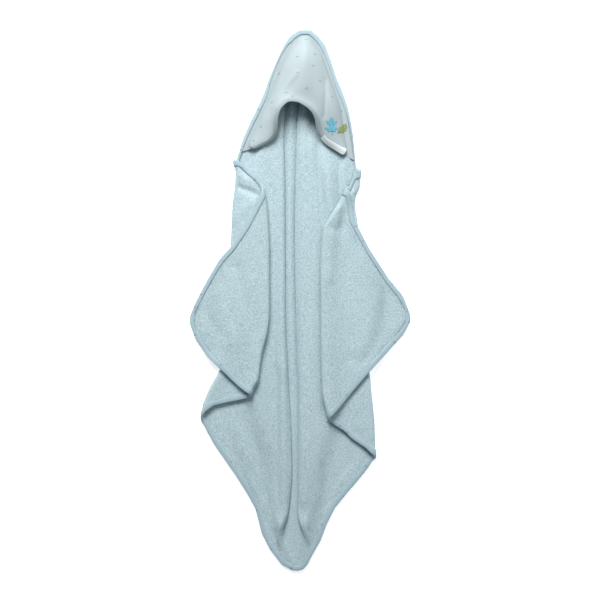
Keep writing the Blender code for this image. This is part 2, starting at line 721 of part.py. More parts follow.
def rim_sections(grid, normals, first, last):
    """The rim's sections, from the hood front's points at its open edge and one cell in from it."""
    return [
        fold_over(
            [(grid[-1, c], normals[-1, c]), (grid[-2, c], normals[-2, c])],
            grid[-1, c + 1] - grid[-1, c - 1],
            JERSEY / 2,
        )
        for c in range(last, first - 1, -1)
    ]


def label_rows(grid, normals, first, last):
    """Points and normals of the hood front under the label: its far side, one cell in, the open edge."""
    cell = grid[-3] - grid[-2]
    further = cell / np.linalg.norm(cell, axis=1, keepdims=True) * (LABEL_WIDTH - RIM_WIDTH)
    points = np.stack([grid[-2] + further, grid[-2], grid[-1]])
    directions = np.stack([normals[-2], normals[-2], normals[-1]])
    return points[:, first : last + 1], directions[:, first : last + 1]


def set_down(objects):
    """Put the whole on z = 0, with the middle of its bounds over the origin."""
    points = np.array([tuple(v.co) for item in objects for v in item.data.vertices])
    low, high = points.min(axis=0), points.max(axis=0)
    middle = (low + high) / 2
    shift = Matrix.Translation((-middle[0], -middle[1], -low[2]))
    for item in objects:
        item.data.transform(shift)


def clear_scene():
    for item in list(bpy.data.objects):
        bpy.data.objects.remove(item, do_unlink=True)


clear_scene()
HOOD_CORNERS = {side: hood_corner_column(side) for side in SIDES}
COLUMNS = towel_columns()
TOWEL = towel_grid()
NORMALS = grid_normals(TOWEL)
terry = material("terry", (0.46, 0.61, 0.66), 0.95)
jersey = material("jersey", (0.55, 0.66, 0.70), 0.9)
woven = material("woven_label", (0.86, 0.88, 0.88), 0.8)
HOOD = hood_grid()
HOOD_NORMALS = grid_normals(HOOD)
pieces = [
    wall("towel_body", TOWEL, NORMALS, TERRY, terry),
    strip("hem_binding", hem_sections(), True, jersey),
    wall("hood_front", HOOD, HOOD_NORMALS, JERSEY, jersey),
    strip("hood_rim", rim_sections(HOOD, HOOD_NORMALS, *RIM_COLUMNS), False, jersey),
    wall("label", *label_rows(HOOD, HOOD_NORMALS, *LABEL_COLUMNS), TAPE, woven, LABEL_LIFT),
]
set_down(pieces)
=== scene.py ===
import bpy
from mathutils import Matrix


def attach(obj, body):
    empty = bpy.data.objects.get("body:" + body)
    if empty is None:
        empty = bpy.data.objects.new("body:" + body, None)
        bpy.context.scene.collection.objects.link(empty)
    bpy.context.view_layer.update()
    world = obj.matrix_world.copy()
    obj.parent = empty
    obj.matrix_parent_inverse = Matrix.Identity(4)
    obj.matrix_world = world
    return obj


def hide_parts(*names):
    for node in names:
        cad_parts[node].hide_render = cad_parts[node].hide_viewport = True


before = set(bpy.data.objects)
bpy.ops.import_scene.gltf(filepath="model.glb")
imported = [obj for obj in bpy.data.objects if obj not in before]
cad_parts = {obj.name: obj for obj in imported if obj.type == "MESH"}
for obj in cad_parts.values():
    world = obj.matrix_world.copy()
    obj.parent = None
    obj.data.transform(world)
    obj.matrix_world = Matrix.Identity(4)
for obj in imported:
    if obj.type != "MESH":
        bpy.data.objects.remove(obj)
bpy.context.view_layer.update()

from bisect import bisect_left
from math import cos, exp, pi, radians, sin, sqrt

import bmesh
import bpy
import numpy as np
from mathutils import Matrix, Vector
from mathutils.bvhtree import BVHTree

MM = 0.001

# Cloth and sewing
TERRY = 2.4  # thickness of the towel's wall
JERSEY = 2.4  # thickness of the hood front, jersey over terry
TAPE = 1.0  # thickness of the binding's strip
SEAM = 0.3  # gap between two pieces at a seam
TAPE_WIDTH = 9.0  # how far the binding reaches over the cloth on each face
RIM_WIDTH = 7.0  # the same for the hood's open edge
LONGEST_REACH = 16.0  # the most the binding reaches along a column that runs along a hem
LONGEST_SHARE = 0.4  # and the most as a share of the column
SHORTEST_REACH = 0.5
FLOOR_MID = TERRY / 2  # height of the wall's middle where it lies on the surface
HEM_LIFT = SEAM + TAPE + 0.05  # the binding under a hem lifts the cloth by this
HEM_FLAT = 17.0  # the cloth stays lifted this far from its hem
HEM_RAMP = 24.0  # and then comes down over this length

# Pleats and folds
TURN = 2.0  # radius of the wall's middle at the pleat's turns
LAYER = 6.4  # distance between the middles of two layers, away from the folds
SETTLE = 34.0  # how far from a fold its puffed edge settles
DROP = 52.0  # length over which a flap comes down to the surface outside the layers
LAP_CLEAR = 5.0  # the panel over a lap stays up this far past the lap's turn
LAP_SLOPE = 40.0  # and then comes down over this length

# The hood
HOOD_HEIGHT = 46.0  # rise of the hood front over its seam
HOOD_SIDE = 46.0  # length over which it rises from a seam
HOOD_FLAT = 10.0  # flat seam allowance under the binding
HOOD_INSET = 0.6  # hood front's edge, inside the line of the towel's hem
HOOD_OVER = (TERRY + JERSEY) / 2 + SEAM  # middle of the hood front over that of the towel at their seam
HOOD_CLEAR = 6.5  # middle of the hood front over the middle of the cloth that it lies on
LIP_BLEND = 3.0  # power with which the opening's heights take over

# Grid sizes
ROW_BUNCH = 0.6  # how much closer the rows are at the hems
BAND_COLUMNS = (0.0, 0.16, 0.3)
LAP_COLUMNS = (0.38, 0.45)
LAP_TURN_COLUMNS = (0.50, 0.55, 0.60)
UNDER_COLUMNS = (0.80,)
EDGE_TURN_COLUMNS = (0.87, 0.94, 1.0)
PANEL_COLUMNS = (1.08, 1.18, 1.32, 1.48, 1.64, 1.80)
FOLD_COLUMNS = (0.25, 0.5, 0.75, 1.0)
MIDDLE_COLUMNS = (3.25, 3.6, 4.0)
FLAP_COLUMNS = (5.1, 5.24, 5.4, 5.56, 5.7, 5.84, 5.94, 6.0)
RIM_COLUMNS = (2, 24)  # first and last hood column of the rim
LABEL_COLUMNS = (20, 24)  # and of the label on it
LABEL_WIDTH = 11.0  # how far the label reaches in from the hood's open edge
LABEL_LIFT = JERSEY / 2 + SEAM + TAPE + SEAM + TAPE / 2  # its middle over the hood front's, past the rim
END = 6.0  # column of the side corner

# The towel's corner under the hood and the opposite one
TIP_Y = 508.5
FOOT_Y = -509.5
SHOULDER_Y = 248  # columns up to the outer fold meet the upper hem above this
SEAM_HEIGHT = FLOOR_MID + HEM_LIFT + HOOD_OVER  # of the hood front's middle, at its seams
HALVINGS = 40  # steps of a search that halves its span


def curve(*rows):
    """A smooth function through (y, value) rows, held constant past its ends."""
    places, values = ([float(v) for v in column] for column in zip(*sorted(rows)))
    steps = [(d - c) / (z - y) for c, d, y, z in zip(values, values[1:], places, places[1:])]
    slopes = [0.0] + [2 * c * d / (c + d) if c * d > 0 else 0.0 for c, d in zip(steps, steps[1:])] + [0.0]

    def value(at):
        if at <= places[0]:
            return values[0]
        if at >= places[-1]:
            return values[-1]
        i = bisect_left(places, at) - 1
        h = places[i + 1] - places[i]
        t = (at - places[i]) / h
        return (
            values[i] * (1 + 2 * t) * (1 - t) ** 2
            + values[i + 1] * t * t * (3 - 2 * t)
            + h * slopes[i] * t * (1 - t) ** 2
            - h * slopes[i + 1] * t * t * (1 - t)
        )

    return value


def off_line(x, y, points):
    """From a point of the plan to the nearest point of a line through points."""
    nearest = 1e12
    for (x0, y0), (x1, y1) in zip(points, points[1:]):
        run_x, run_y = x1 - x0, y1 - y0
        part = ((x - x0) * run_x + (y - y0) * run_y) / (run_x * run_x + run_y * run_y)
        part = min(max(part, 0.0), 1.0)
        off_x, off_y = x - x0 - run_x * part, y - y0 - run_y * part
        nearest = min(nearest, off_x * off_x + off_y * off_y)
    return sqrt(nearest)


class Line:
    """A hem or a fold: x along y, by straight steps between its (y, x) rows."""

    def __init__(self, *rows):
        self.y, self.x = np.array(sorted(rows), float).T
        self.points = list(zip(self.x.tolist(), self.y.tolist()))

    def __call__(self, y):
        return float(np.interp(y, self.y, self.x))

    def distance(self, x, y):
        """From a point of the plan to the nearest point of the line."""
        return off_line(x, y, self.points)


def smooth(t):
    """A soft step from 0 to 1 as t goes from 0 to 1."""
    t = min(max(t, 0.0), 1.0)
    return t * t * (3 - 2 * t)


# The centre pleat: where its two top edges lie, how far each lap goes under, and how far it is folded
# (1 folded flat, 0 open). Rows are (y, value).
PLEAT_LEFT = curve((508, 6), (430, -14), (367, -27), (320, -31), (240, -29), (-57, -27), (-113, -24),
                   (-172, -21), (-245, -17.5), (-321, -15.5), (-392, -21), (-434, -24), (-509, -10))
PLEAT_RIGHT = curve((508, 15), (430, 4), (367, -2), (283, -5), (123, -8), (-57, -5), (-187, -2),
                    (-434, -2.5), (-509, 4))
SIDES = {
    -1: dict(
        lap=curve((345, 1.5), (280, 26), (200, 46), (100, 52), (-180, 48), (-330, 8), (-400, 2)),
        folded=curve((425, 0), (400, 0.35), (372, 0.75), (340, 1), (-385, 1), (-480, 0)),
        hood_corner=278,
        # outer fold (towel to middle layer) and inner fold (middle layer to flap)
        outer=Line((260, -123), (241, -119), (208, -121.5), (181, -125.5), (113, -128.3), (0, -131),
                   (-94, -138), (-136, -151), (-166, -169), (-196, -181), (-217, -184)),
        inner=Line((211, -70), (190, -63.5), (166, -61), (104, -57.6), (-28, -57), (-60, -61),
                   (-100, -71.5), (-151, -78.5), (-181, -94)),
        outer_puff=curve((275, 10), (230, 10), (150, 9), (-100, 9), (-215, 12)),
        inner_puff=curve((215, 12), (150, 10), (-140, 10), (-180, 11)),
        corner=-205.5,
        top_hem=Line((508.5, 10.4), (507.6, -1), (496, -18), (479, -29), (462, -37), (453, -41),
                     (423, -54), (392, -65), (362, -78), (332, -93), (302, -106), (280, -112.5),
                     (262, -118.5), (256, -121)),
        middle_top=Line((263, -119), (256, -106.6), (241, -90), (229, -77.5), (219, -69)),
        flap_top=Line((205, -68), (179, -80), (145, -97), (123, -112), (103, -125.5), (75, -150),
                      (30, -177), (-9, -197), (-25, -204), (-36, -206.6)),
        flap_bottom=Line((-37, -207.5), (-52, -203.5), (-75, -194), (-106, -172.5), (-151, -126),
                         (-162, -114), (-176, -94), (-180, -88)),
        middle_bottom=Line((-214, -184), (-209, -178), (-198, -163), (-191, -131), (-186, -107),
                           (-182, -90)),
        bottom_hem=Line((-509.5, -3), (-508.5, -14), (-498, -33), (-468, -55.7), (-438, -70.8),
                        (-392.5, -82), (-362, -99), (-332, -118), (-302, -138.7), (-272, -159.5),
                        (-241.5, -176.4), (-222, -184)),
    ),
    1: dict(
        lap=curve((345, 1.5), (280, 26), (200, 44), (100, 46), (-180, 46), (-350, 8), (-410, 2)),
        folded=curve((425, 0), (400, 0.35), (372, 0.75), (340, 1), (-395, 1), (-470, 0)),
        hood_corner=262,
        outer=Line((250, 113.5), (240, 114), (211, 112), (196, 105), (181, 103), (136, 110), (75, 118),
                   (0, 121.7), (-94, 127.5), (-136, 131), (-225, 140), (-287, 142)),
        inner=Line((205, 88), (192, 79), (173, 67.5), (157, 57.5), (140, 48.5), (124, 44), (79, 39.6),
                   (-120, 41), (-179, 43.5), (-215, 52), (-232, 60)),
        outer_puff=curve((262, 13), (235, 14), (205, 13), (180, 10), (-100, 9), (-290, 12)),
        inner_puff=curve((215, 13), (150, 11), (-180, 10), (-225, 12)),
        corner=207.5,
        top_hem=Line((508.5, 10.4), (507.6, 21.7), (496, 35), (479, 48), (462, 54), (453, 57.6),
                     (423, 67), (392, 80), (362, 90), (332, 96.5), (302, 101), (275, 103), (262, 104),
                     (246, 106), (236, 110)),
        middle_top=Line((246, 109.5), (232, 102), (215, 95), (200, 86)),
        flap_top=Line((212, 86), (204, 93.5), (186, 97), (170, 98.5), (151, 102), (128, 114), (96, 130),
                      (40, 167), (9, 193), (-16, 205), (-32, 208.5)),
        flap_bottom=Line((-35, 209.5), (-50, 203.5), (-66, 193.4), (-132, 133), (-179, 93), (-200, 76),
                         (-216, 61.3), (-222, 55)),
        middle_bottom=Line((-294, 142), (-286, 133.6), (-278, 126.4), (-268, 110), (-258, 96.6),
                           (-245, 84), (-240, 74), (-232, 63), (-228, 54), (-215, 40)),
        bottom_hem=Line((-509.5, -3), (-507, 6), (-498, 14.2), (-483, 21.7), (-453, 38.7), (-423, 50),
                        (-392.5, 65), (-362, 89.6), (-347, 102.8), (-317, 127.4), (-302, 136.8),
                        (-288, 142)),
    ),
}

# Creases of the towel's own layer, x along y, and its soft crowns between them: side, the crease or pleat
# on each hand, and the height along y.
CREASE_LEFT = curve((400, -50), (-500, -42))
OUTER_LEFT = curve((300, -112), (-500, -150))
CREASE_RIGHT = curve((328, 21.7), (302, 35), (223, 37), (145, 44))
OUTER_RIGHT = curve((270, 82), (241, 76), (190, 78))
CROWNS = (
    (-1, CREASE_LEFT, PLEAT_LEFT, curve((380, 0), (200, 2), (-60, 3), (-200, 5), (-430, 2))),
    (-1, OUTER_LEFT, CREASE_LEFT, curve((380, 0), (150, 3), (-300, 3), (-420, 0))),
    (1, PLEAT_RIGHT, CREASE_RIGHT, curve((380, 2), (250, 5), (100, 6), (-300, 5), (-430, 2))),
    (1, CREASE_RIGHT, OUTER_RIGHT, curve((340, 1), (240, 5), (140, 2), (90, 0))),
)
BAND_CROWN = curve((455, 0), (410, 2), (340, 7), (100, 7), (-100, 4), (-200, 0))
CROWN_POWER = 0.8  # below 1, a crown is fuller than a sine

# Columns where the runs of the pleat end: band, lap on its way out, first turn, lap on its way back,
# second turn
PLEAT_KNOTS = (0.3, 0.45, 0.6, 0.8, 1.0)
LAP_END = 0.525  # the first turn's furthest point


def pleat_centre(y):
    """x midway between the pleat's two top edges."""
    return (PLEAT_LEFT(y) + PLEAT_RIGHT(y)) / 2


def pleat_at(side, q, y):
    """(x, z) of the wall's middle in the centre pleat, for column q from 0, its centre, to 1, its top edge.
    The wall runs out as the band, turns back over as the lap and turns out again as the panel's edge."""
    shape = SIDES[side]
    centre = pleat_centre(y)
    half = (PLEAT_RIGHT(y) - PLEAT_LEFT(y)) / 2 + TURN
    lap = shape["lap"](y)
    bend = pi * shape["folded"](y)
    runs = ((half, 0, 0), (lap, 0, 0), (pi * TURN, 0, bend), (lap, bend, bend), (pi * TURN, bend, 0))
    x = z = start = 0.0
    for knot, (length, turn_from, turn_to) in zip(PLEAT_KNOTS, runs):
        part = min(max((q - start) / (knot - start), 0.0), 1.0)
        run = length * part
        turn_end = turn_from + (turn_to - turn_from) * part
        if abs(turn_end - turn_from) < 1e-6:
            x += run * cos(turn_from)
            z += run * sin(turn_from)
        else:
            x += run * (sin(turn_end) - sin(turn_from)) / (turn_end - turn_from)
            z += run * (cos(turn_from) - cos(turn_end)) / (turn_end - turn_from)
        start = knot
        if q <= knot:
            break
    if q < PLEAT_KNOTS[0]:
        z += BAND_CROWN(y) * cos(pi / 2 * q / PLEAT_KNOTS[0]) ** 2
    return centre + side * x, FLOOR_MID + z


def panel_height(side, x, y):
    """Height of the towel's own layer outside the pleat, without the lift of its hem."""
    shape = SIDES[side]
    edge_x, edge_z = pleat_at(side, 1.0, y)
    lap_end, _ = pleat_at(side, LAP_END, y)
    high_to = max(side * lap_end, side * edge_x) + LAP_CLEAR
    rise = (edge_z - FLOOR_MID) * (1 - smooth((side * x - high_to) / LAP_SLOPE))
    crowned = 0.0
    for crown_side, crease_from, crease_to, crown in CROWNS:
        at, to = crease_from(y), crease_to(y)
        if crown_side == side and at < x < to:
            crowned += crown(y) * sin(pi * (x - at) / (to - at)) ** CROWN_POWER
    near = min(shape["top_hem"].distance(x, y), shape["bottom_hem"].distance(x, y))
    outside = side * (x - edge_x)
    settled = smooth((near - HEM_FLAT) / HEM_RAMP)
    held = settled + (1 - settled) * (1 - smooth(outside / LAP_CLEAR))
    return FLOOR_MID + crowned * settled + rise * held


def layer_heights(side, x, y):
    """Heights of the towel, the middle layer and the flap over one point."""
    shape = SIDES[side]
    low = panel_height(side, x, y)
    from_outer = abs(shape["outer"](y) - x)
    from_inner = abs(shape["inner"](y) - x)
    outer_puff = shape["outer_puff"](y)
    inner_puff = shape["inner_puff"](y)
    middle = low + LAYER + (outer_puff - LAYER) * (1 - smooth(from_outer / SETTLE))
    top = middle + LAYER + (inner_puff - LAYER) * (1 - smooth(from_inner / SETTLE))
    return low, middle, top


def across_x(side, q, y):
    """x of the wall's middle at column q of one side: 0-1 pleat, 1-2 towel, 2-3 outer fold,
    3-4 middle layer, 4-5 inner fold, 5-6 flap."""
    shape = SIDES[side]
    if q <= 1:
        return pleat_at(side, q, y)[0]
    outer_turn = shape["outer_puff"](y) / 2
    inner_turn = shape["inner_puff"](y) / 2
    outer_x = shape["outer"](y) - side * outer_turn
    inner_x = shape["inner"](y) + side * inner_turn
    if q <= 2:
        edge_x = pleat_at(side, 1.0, y)[0]
        return edge_x + (outer_x - edge_x) * (q - 1)
    if q <= 3:
        return outer_x + side * outer_turn * sin(pi * (q - 2))
    if q <= 4:
        return outer_x + (inner_x - outer_x) * (q - 3)
    if q <= 5:
        return inner_x - side * inner_turn * sin(pi * (q - 4))
    return inner_x + (shape["corner"] - inner_x) * (q - 5)


def across(side, q, y):
    """(x, z) of the wall's middle at column q."""
    shape = SIDES[side]
    x = across_x(side, q, y)
    if q <= 1:
        return pleat_at(side, q, y)
    if q <= 2:
        return x, panel_height(side, x, y)
    if q <= 3:
        low, middle, _ = layer_heights(side, across_x(side, 2, y), y)
        return x, low + (middle - low) / 2 * (1 - cos(pi * (q - 2)))
    if q <= 4:
        return x, layer_heights(side, x, y)[1]
    if q <= 5:
        _, middle, top = layer_heights(side, across_x(side, 4, y), y)
        return x, middle + (top - middle) / 2 * (1 - cos(pi * (q - 4)))
    fold_x = shape["outer"](y)
    outside = side * (x - fold_x)
    high = layer_heights(side, fold_x if outside > 0 else x, y)[2]
    return x, high + (FLOOR_MID - high) * smooth(outside / DROP)


def halving(holds, start, end):
    """Where a condition that holds at the start stops holding, on the way to the end."""
    for _ in range(HALVINGS):
        middle = (start + end) / 2
        if holds(middle):
            start = middle
        else:
            end = middle
    return end


def crossing(side, q, hem, high, low):
    """The y between high and low where column q meets a hem given as x along y."""

    def outside(y):
        return side * (across_x(side, q, y) - hem(y)) > 0

    above = outside(high)
    return halving(lambda y: outside(y) == above, high, low)


# First and last column of each layer, and its upper and lower hem, each with the y values to search between
LAYER_HEMS = (
    (0, 2, (("top_hem", TIP_Y, SHOULDER_Y), ("bottom_hem", -200, FOOT_Y))),
    (3, 4, (("middle_top", 266, 200), ("middle_bottom", -180, -300))),
    (5, END, (("flap_top", 206, -36), ("flap_bottom", -36.5, -222))),
)
ENDS = {}
REACH = {}


def layer_hems(q):
    """The two hems of the layer that column q is on, or None on a fold."""
    return next((hems for first, last, hems in LAYER_HEMS if first <= q <= last), None)


def between_layers(find, side, q):
    """What find gives for a column on a fold: a blend of the layers on its two sides."""
    before, after = find(side, float(int(q))), find(side, float(int(q) + 1))
    part = q - int(q)
    return tuple(b + (a - b) * part for b, a in zip(before, after))


def ends(side, q):
    """The y of column q at its upper and at its lower hem."""
    key = (side, round(q, 6))
    if key not in ENDS:
        hems = layer_hems(q)
        if q == 0:
            ENDS[key] = TIP_Y, FOOT_Y
        elif hems:
            ENDS[key] = tuple(crossing(side, q, SIDES[side][hem], high, low) for hem, high, low in hems)
        else:
            ENDS[key] = between_layers(ends, side, q)
    return ENDS[key]


def towel_at(side, q, t):
    """A point of the wall's middle: column q, and t from its upper hem (0) to its lower hem (1)."""
    top, bottom = ends(side, q)
    y = top + (bottom - top) * t
    x, z = across(side, q, y)
    return np.array((x, y, z + hem_lift(side, q, x, y, z)))


def hem_lift(side, q, x, y, z):
    """How much the binding holds the cloth off the surface: near the hems of what lies on it."""
    shape = SIDES[side]
    if 3 <= q <= 5:
        return 0.0
    hems = (shape["top_hem"], shape["bottom_hem"]) if q < 3 else (shape["flap_top"], shape["flap_bottom"])
    near = min(hem.distance(x, y) for hem in hems)
    share = min(1.0, 3 - q) if q < 3 else 1 - smooth((z - FLOOR_MID) / (2 * HEM_LIFT))
    return HEM_LIFT * share * (1 - smooth((near - HEM_FLAT) / HEM_RAMP))


def hood_corner_column(side):
    """The column that meets the upper hem at the hood's corner."""
    hem, corner = SIDES[side]["top_hem"], SIDES[side]["hood_corner"]
    return halving(lambda q: crossing(side, q, hem, TIP_Y, SHOULDER_Y) > corner, PANEL_COLUMNS[-1], 2.0)


def side_columns(side):
    """The columns of one side, from the pleat's centre out to the corner."""
    outer = [2 + f for f in FOLD_COLUMNS]
    inner = [4 + f for f in FOLD_COLUMNS]
    columns = [*BAND_COLUMNS, *LAP_COLUMNS, *LAP_TURN_COLUMNS, *UNDER_COLUMNS, *EDGE_TURN_COLUMNS]
    columns += [*PANEL_COLUMNS, HOOD_CORNERS[side], 2.0]
    return columns + [*outer, *MIDDLE_COLUMNS, *inner, *FLAP_COLUMNS]


def all_columns(of_side):
    """Columns from the left corner to the right one: below 0 on the left, above 0 on the right."""
    return np.array([-q for q in reversed(of_side(-1))] + of_side(1)[1:])


def side_of(s):
    """The side of a column: 1 on the right, -1 on the left."""
    return 1 if s > 0 else -1


def strip_reach(side, q):
    """How far the binding's inner edge lies along column q, from its upper hem and from its lower one."""
    key = (side, round(q, 6))
    if key not in REACH:
        hems = layer_hems(q)
        REACH[key] = between_layers(strip_reach, side, q) if hems is None else hem_reaches(side, q, hems)
    return REACH[key]


def hem_reaches(side, q, hems):
    """The same on one layer, with its two hems."""
    top, bottom = ends(side, q)
    longest = min(LONGEST_SHARE * (top - bottom), LONGEST_REACH)
    found = []
    for (hem, _, _), start, way in zip(hems, (top, bottom), (-1, 1)):

        def is_under(reach):
            y = start + way * reach
            return SIDES[side][hem].distance(across_x(side, q, y), y) < TAPE_WIDTH

        found.append(max(halving(is_under, 0.0, longest), SHORTEST_REACH))
    return tuple(found)


def column_rows(side, q):
    """t of each row of a column: its hems, the binding's inner edges, and an even spread between those,
    a little closer at the ends."""
    top, bottom = ends(side, q)
    upper, lower = (reach / (top - bottom) for reach in strip_reach(side, q))
    even = np.linspace(0, 1, ROWS - 2)
    even = even - ROW_BUNCH * np.sin(2 * pi * even) / (2 * pi)
    return [0.0, *(upper + (1 - lower - upper) * even), 1.0]


def grid_normals(points):
    """Unit normals of a grid of points, up where rows run down the page and columns to the right."""
    along = np.gradient(points, axis=1)
    down = np.gradient(points, axis=0)
    normals = np.cross(down, along)
    return normals / np.linalg.norm(normals, axis=2, keepdims=True)


def unit(vector):
    """The vector at length 1."""
    return vector / np.linalg.norm(vector)


def hem_places():
    """The towel's edge as (row, column) of its grid: along the top, down, back along the bottom, up."""
    rows, columns = ROWS - 1, len(COLUMNS) - 1
    places = [(0, c) for c in range(columns)] + [(r, columns) for r in range(rows)]
    places += [(rows, c) for c in range(columns, 0, -1)] + [(r, 0) for r in range(rows, 0, -1)]
    return places


def under_hood(s):
    """Whether this column's upper hem lies under the hood front."""
    return abs(s) <= HOOD_CORNERS[side_of(s)] + 1e-6


# The hood's open edge between its left corner and its right one: (x, y, height)
LIP = (
    (-90, 284.5, 11.5), (-72, 291, 15.5), (-56, 299, 17.5), (-47, 309, 21.5), (-42.5, 321, 28.5),
    (-41.5, 334, 37), (-40, 347, 44), (-35, 360, 49), (-25, 370, 51), (-12, 374, 52), (4, 368, 51),
    (20, 357, 47), (29, 345, 41), (32, 328, 30), (36, 313, 21), (48, 298, 16), (67, 284.5, 12),
    (88, 271, 9),
)
ARC_COLUMNS = (1.0, 0.94, 0.87, 0.8, 0.6, 0.5, 0.45, 0.38, 0.3, 0.16)  # the towel's, round the hood's tip
HOOD_ROWS = 16
HOOD_WIDTH = 27  # columns of the hood front
HOOD_FIRST = 0.05  # where its second row meets the side seams, as a share of their length
HOOD_LAST = 0.93  # and where its last row but one does
RELAX_STEPS = 300
RELAX_SHARE = 0.8  # how far each step goes
TIP_STEPS = 12  # rounds of evening for the row inside the tip
LIP_SEARCH = 0.2  # the opening clears its two seams within this share of its length


def run_along(points):
    """How far each point lies along the line through all of them."""
    return np.concatenate([[0], np.cumsum(np.linalg.norm(np.diff(points, axis=0), axis=1))])


def read_at(place, run, values):
    """Each column of values at one place of a run."""
    return np.array([np.interp(place, run, column) for column in values.T])


def along(points, share):
    """The point at this share of a polyline's length."""
    run = run_along(points)
    return read_at(share * run[-1], run, points)


def beside(points, distance):
    """Plan points moved to the left of their line's way, or to its right if the distance is below 0."""
    step = np.gradient(points, axis=0)
    left = np.stack([-step[:, 1], step[:, 0]], 1)
    return points + left / np.linalg.norm(left, axis=1, keepdims=True) * distance


def hood_edges():
    """The hood front's sewn edges, plan points just inside the towel's hem: left side, tip, right side."""
    columns = all_columns(side_columns)
    hem = np.array([towel_at(side_of(s), abs(s), 0.0)[:2] for s in columns])
    find = {round(float(s), 6): k for k, s in enumerate(columns)}
    middle = find[0.0]
    last_left = find[round(-HOOD_CORNERS[-1], 6)]
    last_right = find[round(HOOD_CORNERS[1], 6)]
    inset = beside(hem, -HOOD_INSET)
    left = inset[last_left : find[-1.0] + 1][::-1]
    right = inset[find[1.0] : last_right + 1]
    tip = inset[[find[-q] for q in ARC_COLUMNS] + [middle] + [find[q] for q in ARC_COLUMNS[::-1]]]
    return left, tip, right


def from_seam(x, y):
    """How far a plan place lies inside the hood's nearest sewn edge."""
    return min(SIDES[-1]["top_hem"].distance(x, y), SIDES[1]["top_hem"].distance(x, y))


def relax(plan):
    """Even out the points inside a plan grid, those next to its edges held, so that no cell turns over."""
    for _ in range(RELAX_STEPS):
        centre = plan[2:-2, 2:-2]
        right, left = plan[2:-2, 3:-1], plan[2:-2, 1:-3]
        down, up = plan[3:-1, 2:-2], plan[1:-3, 2:-2]
        corners = plan[3:-1, 3:-1] - plan[3:-1, 1:-3] - plan[1:-3, 3:-1] + plan[1:-3, 1:-3]
        over, under = (right - left) / 2, (down - up) / 2
        down_step = (under**2).sum(2, keepdims=True)
        across_step = (over**2).sum(2, keepdims=True)
        mixed = (over * under).sum(2, keepdims=True)
        evened = down_step * (right + left) + across_step * (down + up) - mixed * corners / 2
        plan[2:-2, 2:-2] = centre + (evened / (2 * (down_step + across_step)) - centre) * RELAX_SHARE
    return plan


def hood_grid():
    """The hood front's middle surface: rows from the tip down to the opening, columns left to right."""
    left, tip, right = hood_edges()
    corners = (*left[-1], SEAM_HEIGHT), (*right[-1], SEAM_HEIGHT)
    lip = np.array([corners[0], *LIP, corners[1]])
    allowance = HOOD_FLAT + HOOD_INSET
    first = halving(lambda t: from_seam(*along(lip, t)[:2]) < allowance, 0.0, LIP_SEARCH)
    last = halving(lambda t: from_seam(*along(lip, 1 - t)[:2]) < allowance, 0.0, LIP_SEARCH)
    across_shares = [0.0, *np.linspace(first, 1 - last, HOOD_WIDTH - 2), 1.0]
    down_shares = [0.0, *np.linspace(HOOD_FIRST, HOOD_LAST, HOOD_ROWS - 2), 1.0]
    opening = np.array([along(lip, t) for t in across_shares])
    left = np.array([along(left, t) for t in down_shares])
    right = np.array([along(right, t) for t in down_shares])
    tip = np.array([along(tip, t) for t in np.linspace(0, 1, HOOD_WIDTH)])
    plan = np.zeros((HOOD_ROWS, HOOD_WIDTH, 2))
    plan[:, 0], plan[:, -1] = left, right
    plan[:, 1], plan[:, -2] = beside(left, HOOD_FLAT), beside(right, -HOOD_FLAT)
    plan[0], plan[-1] = tip, opening[:, :2]
    plan[1, 1:-1] = beside(tip, -HOOD_FLAT)[1:-1]
    for _ in range(TIP_STEPS):
        plan[1, 2:-2] = (plan[1, 1:-3] + 2 * plan[1, 2:-2] + plan[1, 3:-1]) / 4
    plan[-2, 2:-2] = beside(opening[:, :2], RIM_WIDTH)[2:-2]
    for r in range(2, HOOD_ROWS - 2):
        b = (r - 1) / (HOOD_ROWS - 3)
        for c in range(2, HOOD_WIDTH - 2):
            a = (c - 1) / (HOOD_WIDTH - 3)
            sides = plan[r, 1] * (1 - a) + plan[r, -2] * a
            ends_here = plan[1, c] * (1 - b) + plan[-2, c] * b
            above = plan[1, 1] * (1 - a) + plan[1, -2] * a
            below = plan[-2, 1] * (1 - a) + plan[-2, -2] * a
            plan[r, c] = sides + ends_here - above * (1 - b) - below * b
    plan = relax(plan)
    grid = np.full((HOOD_ROWS, HOOD_WIDTH, 3), SEAM_HEIGHT)
    grid[:, :, :2] = plan
    for r in range(2, HOOD_ROWS):
        for c in range(2, HOOD_WIDTH - 2):
            grid[r, c, 2] = hood_height(*plan[r, c], down_shares[r], opening[c, 2])
    return grid


def hood_height(x, y, b, lip_height):
    """Height of the hood front's middle over a plan point, b of the way from the tip to the opening."""
    side = 1 if x > pleat_centre(y) else -1
    away = max(from_seam(x, y) - HOOD_FLAT - HOOD_INSET, 0.0)
    height = SEAM_HEIGHT + HOOD_HEIGHT * sin(pi / 2 * min(away / HOOD_SIDE, 1.0))
    height += (lip_height - height) * b**LIP_BLEND * smooth(away / HOOD_FLAT)
    edge_x = pleat_at(side, 1.0, y)[0]
    below = panel_height(side, side * max(side * x, side * edge_x), y)
    return max(height, SEAM_HEIGHT + (below + HOOD_CLEAR - SEAM_HEIGHT) * smooth(away / HOOD_FLAT))


